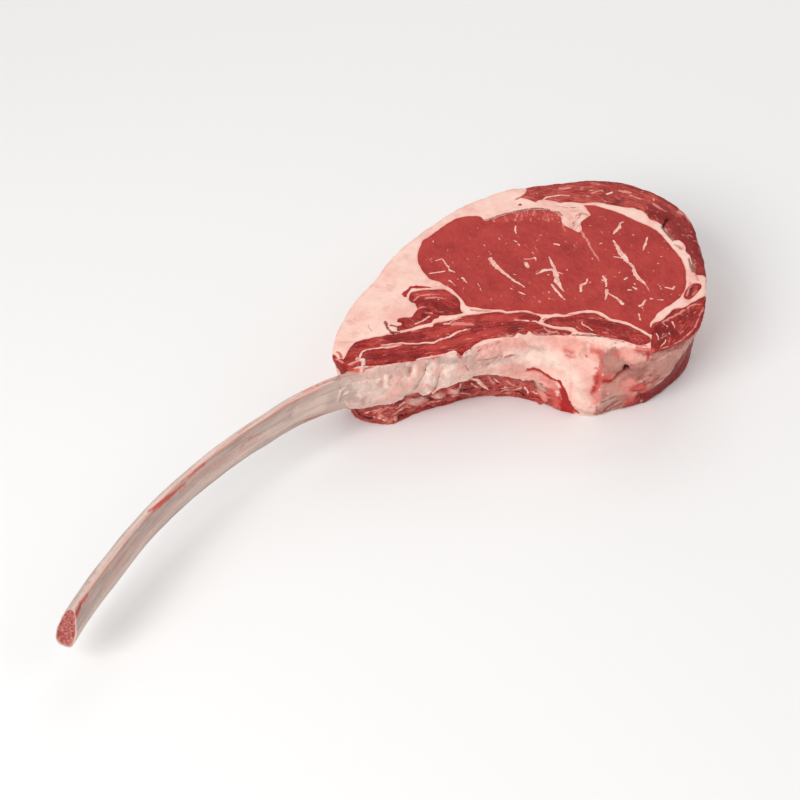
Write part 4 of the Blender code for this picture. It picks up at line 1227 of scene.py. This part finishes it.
membrane = {
    "slot": "white_fat", "span": (-101.0, 5.0), "cells": (200, 96), "proud": 0.6, "thickness": 1.3,
    "slant": (0.0, math.sqrt(0.5), -math.sqrt(0.5)),
    "reach": 40.0,          # the slant starts this far in front of the wall
    "sink": (15.0, 14.0),   # over these lengths its two ends rise out of what lies behind
    "hem": 4.5,             # how far it hangs below the rib
    "ribProud": 2.5,        # the rib counts where it stands this far in front of the wall
    "ribFrom": (-92, -96),  # from here on it goes no higher than the rib
    "fallBack": 0.28,       # how fast it falls back below the rib, for each row of points
    "softened": (4, 2),     # rounds that keep it in front of what lies behind, then free rounds
    # the upper edge along x
    "upperEdge": [
        (-101, 39), (-98, 42), (-95, 45.6), (-92, 48.5), (-88, 50.3), (-84, 50.6), (-79, 50.0), (-72, 50.6),
        (-60, 51.3), (-40, 51.6), (-35.5, 51.4), (-34.5, 49.5), (-33.5, 48.2), (-32.2, 50.4), (-30, 51.5),
        (-18, 51.5), (-4, 50.6), (5, 49),
    ],
    "marks": [
        ("ash", 4.0, 5, 0, [(-100, 40), (-88, 43.5), (-75, 45), (-62, 45.5), (-48, 49)]),
        ("bone", 5.0, 6, 0, [(-94, 31), (-86, 33), (-76, 32)]),
        ("ash", 3.0, 5, 0, [(-94, 20), (-84, 24)]),
        ("shell", 7.0, 9, 0, [(-106, 18), (-97, 20)], [(-106, 32), (-96, 33)], [(-106, 42), (-97, 43)]),
        ("cream", 5.0, 5, 0, [(5, 36), (11, 36.5)]),
        ("salmon", 4.0, 6, 0, [(-20, 48), (-8, 48), (5, 46)], [(-8, 31), (5, 33)]),
        ("cream", 3.2, 2.4, 0.8, [(-48.6, 45), (-49.8, 36), (-51, 27), (-50.4, 22, 0.4)],
         [(-39, 45), (-40, 36), (-41.5, 29, 0.8)]),
        ("blush", 3.0, 2.4, 0.8, [(-56.6, 46), (-58, 40), (-59.5, 35, 0.7)], [(-33.5, 42), (-32.5, 34)]),
        ("salmon", 1.0, 2.4, 0, [(-55, 46), (-56.5, 40)], [(-46, 45), (-47.5, 38)], [(-52, 30), (-49, 26)]),
        ("blush", 4.0, 5, 0, [(-70, 28), (-62, 31), (-58, 29)], [(-78, 20), (-70, 24)],
         [(-24, 46), (-12, 44)]),
        ("blush", 4.0, 4, 0, [(-28, 40), (-20, 42)], [(-20, 32), (-10, 31), (-2, 30)]),
        ("ash", 2.4, 3, 0, [(-45, 48), (-30, 45), (-26, 38)], [(-22, 38), (-12, 38.5), (0, 37)]),
        ("ash", 1.8, 2.5, -0.2, [(-64, 42), (-66, 36)], [(-74, 38), (-78, 32)]),
        ("rose", 0.6, 1.8, 0, [(-82, 50), (-70.5, 50.8)], [(-84, 48.6), (-80.5, 49.2)],
         [(-64, 51), (-58, 51.2)], [(-52, 51.4), (-46, 51.4)]),
        *strewn("rose", 22, ((-84, 48.6), (-38, 51.4)), 100, 19, 2.6, 24),
        *strewn("cream", 18, ((-84, 47), (-38, 51)), 100, 20, 3.4, 20),
        ("pink", 0.9, 1.0, 0.5, [(-99, 42.6), (-95, 46), (-90, 49)], [(-97, 43), (-90, 45), (-87, 45.5)]),
        ("rose", 1.6, 2.0, 0, [(-99, 46), (-95, 48.6)], [(-92, 47), (-86, 47.6)]),
        ("cream", 1.4, 1.2, 1.6, [(-86.2, 51.5), (-85.8, 49.8), (-86.2, 46, 0.5)]),
        ("cream", 0.5, 0.7, 0.4, [(-84, 50.2), (-78, 50.6), (-72, 51)]),
        # painted shade in the slits between the flaps
        ("dark", 0.42, 0.6, -1.5, [(-52, 47.3, 0.5), (-53, 41), (-54.5, 36), (-57, 31, 0.3)],
         [(-43, 43.3, 0.5), (-45, 37), (-46.5, 30), (-47, 27, 0.3)], [(-31.5, 41, 0.5), (-29, 35.5, 0.6)]),
        ("mauve", 0.8, 1.2, -0.7, [(-57, 31), (-58, 28)], [(-47, 27), (-48.5, 23.5)],
         [(-60.5, 46), (-61.5, 40)]),
        ("cream", 1.5, 1.4, 0.9, [(-72.8, 42), (-73.4, 34)], [(-58, 46), (-58.5, 39)]),
        ("tan", 0.7, 2.0, -0.3, [(-70.8, 41), (-71.4, 35)], [(-75, 41), (-75.6, 36)]),
        ("blush", 2.3, 1.6, 1.1, [(-68, 37.6), (-65, 37.2)]),
        ("cream", 1.2, 1.2, 0.9, [(-50.3, 22.5), (-49.8, 20.5)]),
        ("bone", 2.1, 1.0, 1.6, [(-87.4, 16.5)]),
        ("bone", 1.4, 1.6, 0.8, [(-86.5, 25)], [(-82.8, 23.5), (-83.4, 17.5)], [(-79, 21), (-76, 18)]),
        ("tan", 0.8, 2.0, -0.3, [(-84.6, 24), (-85, 18)]),
        ("blush", 2.6, 1.8, 1.4, [(-23, 44.6, 0.6), (-19, 45.3), (-14.5, 43.8, 0.8), (-18.5, 42.6, 0.6)]),
        ("mauve", 0.5, 1.0, -0.6, [(-24, 41.6), (-19, 40.2), (-13.5, 41.2)],
         [(-20, 36), (-16, 38), (-12, 41)], [(-2.5, 39), (-1, 36)]),
        ("rose", 0.7, 1.2, -0.2, [(-10, 40), (-6, 40.5)]),
        ("rose", 1.6, 1.8, -0.4, [(-35, 50), (-33.5, 46.8, 0.4)]),
        ("blush", 1.4, 1.6, 0.7, [(-5, 38), (2, 36.5)]),
        ("ash", 0.8, 1.4, -0.3, [(-92, 38), (-84, 40), (-78, 41)], [(-98, 28), (-90, 30)]),
        ("bone", 0.7, 0.8, 0.9, [(-103, 27, 0.4), (-100.5, 30.5), (-98.5, 34, 0.5)],
         [(-99.5, 28, 0.6), (-97, 31)], [(-96.5, 26), (-94.8, 28, 0.5)]),
        *strewn("cream", 26, ((-100, 22), (-78, 38)), 40, 17, 3.0, 16),
        *strewn("rose", 14, ((-33, 47.5), (-12, 51)), 55, 22, 3.0, 24),
        ("cream", 3.5, 7, 0, [(-1, 36.5), (6, 36)]),
        ("salmon", 3.2, 3.0, 0, [(-7, 26.5, 0.7), (-3, 26), (1, 24.3), (6, 24)]),
        *strewn("mauve", 22, ((-96, 20), (-20, 47)), 80, 18, 3.0, 30),
    ],
    "finish": fatFinish("membrane", {
        "dark": rgb(214, 172, 160), "main": rgb(232, 196, 184), "light": rgb(243, 216, 205),
        "soft": (3.2, 3.2, 4.5), "turn": 0, "blush": 0.3, "bump": 0.4}),
}


# Lays the membrane over the pieces behind it
def makeMembrane(behind):
    columns, rows = membrane["cells"]  # points each way
    deselectAll()
    bpy.ops.mesh.primitive_grid_add(
        x_subdivisions=columns - 1, y_subdivisions=rows - 1, size=1, location=(0, 0, 0))
    sheet = bpy.context.object
    sheet.name = "membrane"
    modifier = sheet.modifiers.new("thickness", "SOLIDIFY")
    modifier.thickness = 0.1
    modifier.offset = -1
    bpy.ops.object.modifier_apply(modifier=modifier.name)
    unit = readPoints(sheet) * mm
    column = np.round((unit[:, 0] + 0.5) * (columns - 1)).astype(int)
    row = np.round((unit[:, 1] + 0.5) * (rows - 1)).astype(int)
    inner = unit[:, 2] < -0.05
    start, end = membrane["span"]
    x = start + (end - start) * np.arange(columns) / (columns - 1)
    flat = atZero(atZero(x))
    upper = edgeAt(membrane["upperEdge"], x) + 0.4 * lumps(flat, 2.2, 61, 3)
    slant = np.array(membrane["slant"])
    reach = membrane["reach"]
    trees = [BVHTree.FromObject(piece, bpy.context.evaluated_depsgraph_get()) for piece in behind]

    def look(spot, tree):
        found = tree.ray_cast((np.array(onFront(*spot)) - slant * reach) * mm, slant)[3]
        return reach if found is None else found / mm

    def ribAt(place, low, high):  # heights at which the rib stands in front of the wall
        levels = np.arange(low, high, 0.5)
        return [z for z in levels if look((place, z), trees[0]) < reach - membrane["ribProud"]]

    ribHigh = [max(ribAt(place, 20, 52), default=52) for place in x]
    upper += (np.minimum(upper, ribHigh) - upper) * ease(*membrane["ribFrom"], x)
    ribLow = np.array([min(ribAt(place, 2, 30), default=0) for place in x])
    lower = np.maximum(edgeAt(front["lowerEdge"], x), ribLow - membrane["hem"])
    lower += 1.1 * lumps(flat, 3.4, 62, 3)
    lower = np.minimum(lower, upper - 4)
    height = lower[:, None] + (upper - lower)[:, None] * np.arange(rows)[None] / (rows - 1)
    place = np.column_stack([np.repeat(x, rows), np.zeros(height.size), height.ravel()])
    wallSpots = np.array([onFront(*spot) for spot in place[:, [0, 2]]])
    depth = np.array([min(look(spot, tree) for tree in trees) for spot in place[:, [0, 2]]])
    depth = depth.reshape(height.shape)
    for level in reversed(range(rows - 1)):
        depth[:, level] = np.minimum(depth[:, level], depth[:, level + 1] + membrane["fallBack"])
    for number in range(sum(membrane["softened"])):
        padded = np.pad(depth, 1, mode="edge")
        soft = (padded[:-2, 1:-1] + padded[2:, 1:-1] + padded[1:-1, :-2] + padded[1:-1, 2:]) / 4
        depth = np.minimum(depth, soft) if number < membrane["softened"][0] else soft
    fields = emptyFields(len(place))
    relief = drawMarks(place, membrane["marks"], fields, lambda x, z: [x, 0, z])
    relief += 0.22 * lumps(place + np.outer(place[:, 2], (0.35, 0, -0.4)), 3.4, 63, 3)
    relief += 0.4 * lumps(place, 9, 64, 2)
    ragged = 3.5 * lumps(place * (0.3, 1, 1), 8, 65, 3)
    away = np.minimum((place[:, 0] - start - 4 + ragged) / membrane["sink"][0],
                      (end - place[:, 0]) / membrane["sink"][1])
    proud = (membrane["proud"] + relief) * ease(0, 1, away) - 0.9 * ease(0.5, 0, away)
    outer = wallSpots - slant * (reach - depth.ravel() + proud)[:, None]
    outer[:, 2] = np.minimum(outer[:, 2], thickness + steak["overTop"])
    under = outer + slant * (membrane["thickness"] + relief * 0.5 + 0.2)[:, None]
    index = column * rows + row
    writePoints(sheet, np.where(inner[:, None], under[index], outer[index]))
    fields["edge"] = np.full(len(place), brush["edge"])
    fields["low"] = np.zeros(len(place))
    setFields(sheet, {kind: values[index] for kind, values in fields.items()})
    present(sheet, membrane)


# The fat: the outer layer, the seams, the layer over the rib's inner end and the block at the front

fat = {
    "node": "fat", "slot": "white_fat",
    "crown": 0.15, "broad": 0.5, "fine": 0.2,
    "topMarks": [
        ("blush", 3, 5, 0, [(-92, -45.5)], [(-90, -55)], [(-71.3, -18)], [(-62, 8)], [(-50, 24)]),
        ("slate", 0.6, 0.7, -0.3, [(-18, 40, 0.6), (-14, 41.8, 0.7), (-9.8, 43.8), (-5.2, 45.9),
         (0.2, 47.6), (5.6, 49.1), (10.2, 49.9), (15.6, 49.9), (19.4, 48.9), (23.2, 46.7), (25.8, 44.2)]),
        ("mauve", 0.9, 1.6, -0.2, [(34, 44.5), (37, 46), (40, 45)]),
        ("slate", 0.3, 0.7, -0.2, [(24, 52), (30, 50.5), (37, 51.5)], [(30, 47.5), (35, 48.5)]),
        # the pinkish fibres in the notch
        ("blush", 3.0, 3, -0.3, [(30, 36), (32, 42)]),
        *strewn("rose", 30, ((25, 31), (36, 46)), 70, 21, 5.0, 14),
        ("slate", 0.8, 0.8, -0.5, [(80.7, 34, 0.7), (84, 27), (86.2, 21.6, 0.7)],
         [(93.2, 7, 0.6), (93.8, 1), (94.3, -4)]),
        ("mauve", 1.2, 1.6, -0.5, [(87.5, 18.5, 0.8), (90, 15)]),
        ("pink", 0.5, 0.7, 0, [(95.4, -6), (96.5, -12)], [(92, -13), (89, -22)]),
        ("blood", 1.0, 0.7, -0.2, [(2.5, 53.5)]),
        # round the lobe: a sliver of red, the comma and the finger
        ("blood", 1.1, 0.7, -0.2, [(-62.9, -25.5, 0.7), (-63.9, -23.5), (-61.9, -20.5), (-60.2, -17.4),
         (-56, -17.4), (-52, -17.4, 0.8), (-49, -17.6, 0.3)]),
        ("brick", 1.3, 0.7, -0.2,
         [(-74, -45.8), (-73.2, -48, 0.6), (-72.6, -49.5, 0.6), (-71.2, -52, 0.7), (-70, -53.8)]),
        ("brick", 0.6, 0.7, 0, [(-71, -48), (-67, -49.5)], [(-70, -53.5), (-66.5, -53.5)]),
        ("slate", 0.3, 0.6, -0.3, [(-83, -48), (-81.2, -52.5)]),
        ("rose", 0.9, 1.2, 0, [(-98.5, -69), (-97, -72.5)]),
        # the seam between the eye and the muscles in front of it
        ("pink", 0.7, 1.2, 0, [(-28, -36), (-18, -37)], [(-2, -37), (6, -38.5)], [(24, -39), (33, -38.4)]),
        ("brick", 0.75, 0.7, -0.2, [(25, -55.2), (32, -55.5), (38, -56.2), (43, -57.6, 0.5)]),
        ("rose", 0.5, 0.8, 0, [(10, -43), (12.5, -41.8)]),
        ("blush", 1.6, 2, 0, [(18, -50), (25, -51.5), (34, -54.5)]),
        ("rose", 0.5, 0.8, 0, [(44, -58.5), (52, -61)], [(58, -63), (64, -64.5)]),
        ("blood", 1.3, 1.0, 0, [(66.6, -50), (67, -54)]),
    ],
    "finish": fatFinish("fat", {
        "dark": rgb(240, 182, 168), "main": rgb(248, 203, 188), "light": rgb(252, 216, 202),
        "soft": 4.5, "turn": 0, "blush": 0.35, "bump": 0.35}),
}


# How each muscle is cut from the body: an upright prism round its outline
cutting = {
    "spacing": 0.6, "wander": 0.25, "wanderSize": 3.2,  # of the outline's points, in millimetres
    "overrun": 12,          # past both cut faces
    "cuts": (11,),          # for the one that leans
    "leanFrom": -24, "leanSpan": 48,
}


def addMuscle(name, look):
    piece = copyOf(body, name)
    rows = evenOutline(look["outline"], cutting["spacing"])[:, :2]
    wander = cutting["wander"] * lumps(atZero(rows), cutting["wanderSize"], len(name), 2)
    rows = rows + outwardOf(rows) * wander[:, None]
    room, index, along = addPrism(name + "Room", len(rows), cutting["cuts"] if "top" in look else ())
    low, top = -cutting["overrun"], look.get("top", thickness + cutting["overrun"])
    height = low + (top - low) * along
    plan = rows[index].copy()
    if "lean" in look:
        share = np.clip(height / look["top"], 0, 1)
        across = (plan[:, 0] - cutting["leanFrom"]) / cutting["leanSpan"]
        plan[:, 0] -= share * look["lean"] * np.clip(across, 0, 1) ** 2
    writePoints(room, np.column_stack([plan, height]))
    if "skin" in look:
        shell = addWall("shell", look["skin"])
        cutWith(room, shell, "INTERSECT")
        remove([shell])
    cutWith(piece, room, "INTERSECT")
    return piece, room, rows


# The whole body first, then the bed that the rib leaves in it
body = addSlab()
wall = addWall("wall")
cutWith(body, wall, "INTERSECT")
remove([wall])
print("body", len(body.data.vertices), "points")

ribBed, bedAround, bedAlong = addPrism("ribBed", rib["sides"], (100,))
writePoints(ribBed, ribPoints(bedAround, bedAlong, np.ones(len(bedAlong)), -rib["bedding"])[0])

# The fat is what is left of the body once every muscle's room is taken out of it
rooms, outlines = [], []
fatPiece = copyOf(body, "fat.web")
for name, look in muscles.items():
    piece, room, rows = addMuscle(name, look)
    if name in ("strip", "innerStrip", "lowerMeat"):
        cutWith(piece, ribBed, "DIFFERENCE")
    if name == "strip":
        stripPiece = piece
    if name == "lowerMeat":
        cutWith(stripPiece, room, "DIFFERENCE")
    cutWith(fatPiece, room, "DIFFERENCE")
    look["piece"] = piece
    look["rows"] = rows
    rooms.append(room)
    outlines.append(rows)
cutWith(fatPiece, ribBed, "DIFFERENCE")
remove(rooms + [ribBed, body])
for name, look in muscles.items():
    dress(look["piece"], look, [look["rows"]])
dress(fatPiece, fat, outlines)
makeRib()
makeMembrane([bpy.data.objects[name] for name in ("rib", "fat.web", "strip", "lowerMeat")])

# Floor, lights and camera

studio = {
    "floorSize": 6, "floorColour": rgb(244, 243, 242), "worldStrength": 0.42, "aim": (0, 0, 0.02),
    "cameraPlace": (-0.066, -0.7851068, 0.7331068), "cameraTilt": 45, "lens": 85, "sensor": 36,
    # name: place, size and power of a soft panel that faces the steak
    "panels": {
        "key": ((-0.8, -1.0, 1.05), 0.9, 17),
        "fill": ((0.9, -0.1, 1.0), 1.0, 3),
        "back": ((0.1, 1.0, 1.0), 1.0, 4),
    },
}
deselectAll()
bpy.ops.mesh.primitive_plane_add(size=studio["floorSize"], location=(0, 0, 0))
floor = bpy.context.object
floor.name = "floor"
floorFinish = Finish("floorPaint")
floor.data.materials.append(floorFinish.surface(
    studio["floorColour"], 0.9, floorFinish.bump(floorFinish.grain(4), 0.02)))

world = bpy.data.worlds.new("studio")
world.use_nodes = True
background = world.node_tree.nodes["Background"]
background.inputs["Color"].default_value = (1, 1, 1, 1)
background.inputs["Strength"].default_value = studio["worldStrength"]
bpy.context.scene.world = world
for name, (place, size, power) in studio["panels"].items():
    bpy.ops.object.light_add(type="AREA", location=place)
    panel = bpy.context.object
    panel.name = name
    panel.data.size = size
    panel.data.energy = power
    aim = np.array(studio["aim"]) - np.array(place)
    panel.rotation_euler = (math.atan2(math.hypot(aim[0], aim[1]), -aim[2]), 0,
                            math.atan2(aim[1], aim[0]) - math.pi / 2)
bpy.ops.object.camera_add(
    location=studio["cameraPlace"], rotation=(math.radians(studio["cameraTilt"]), 0, 0))
camera = bpy.context.object
camera.data.lens = studio["lens"]
camera.data.sensor_width = studio["sensor"]
bpy.context.scene.camera = camera
bpy.context.scene.view_settings.view_transform = "Standard"
print("studio ready")
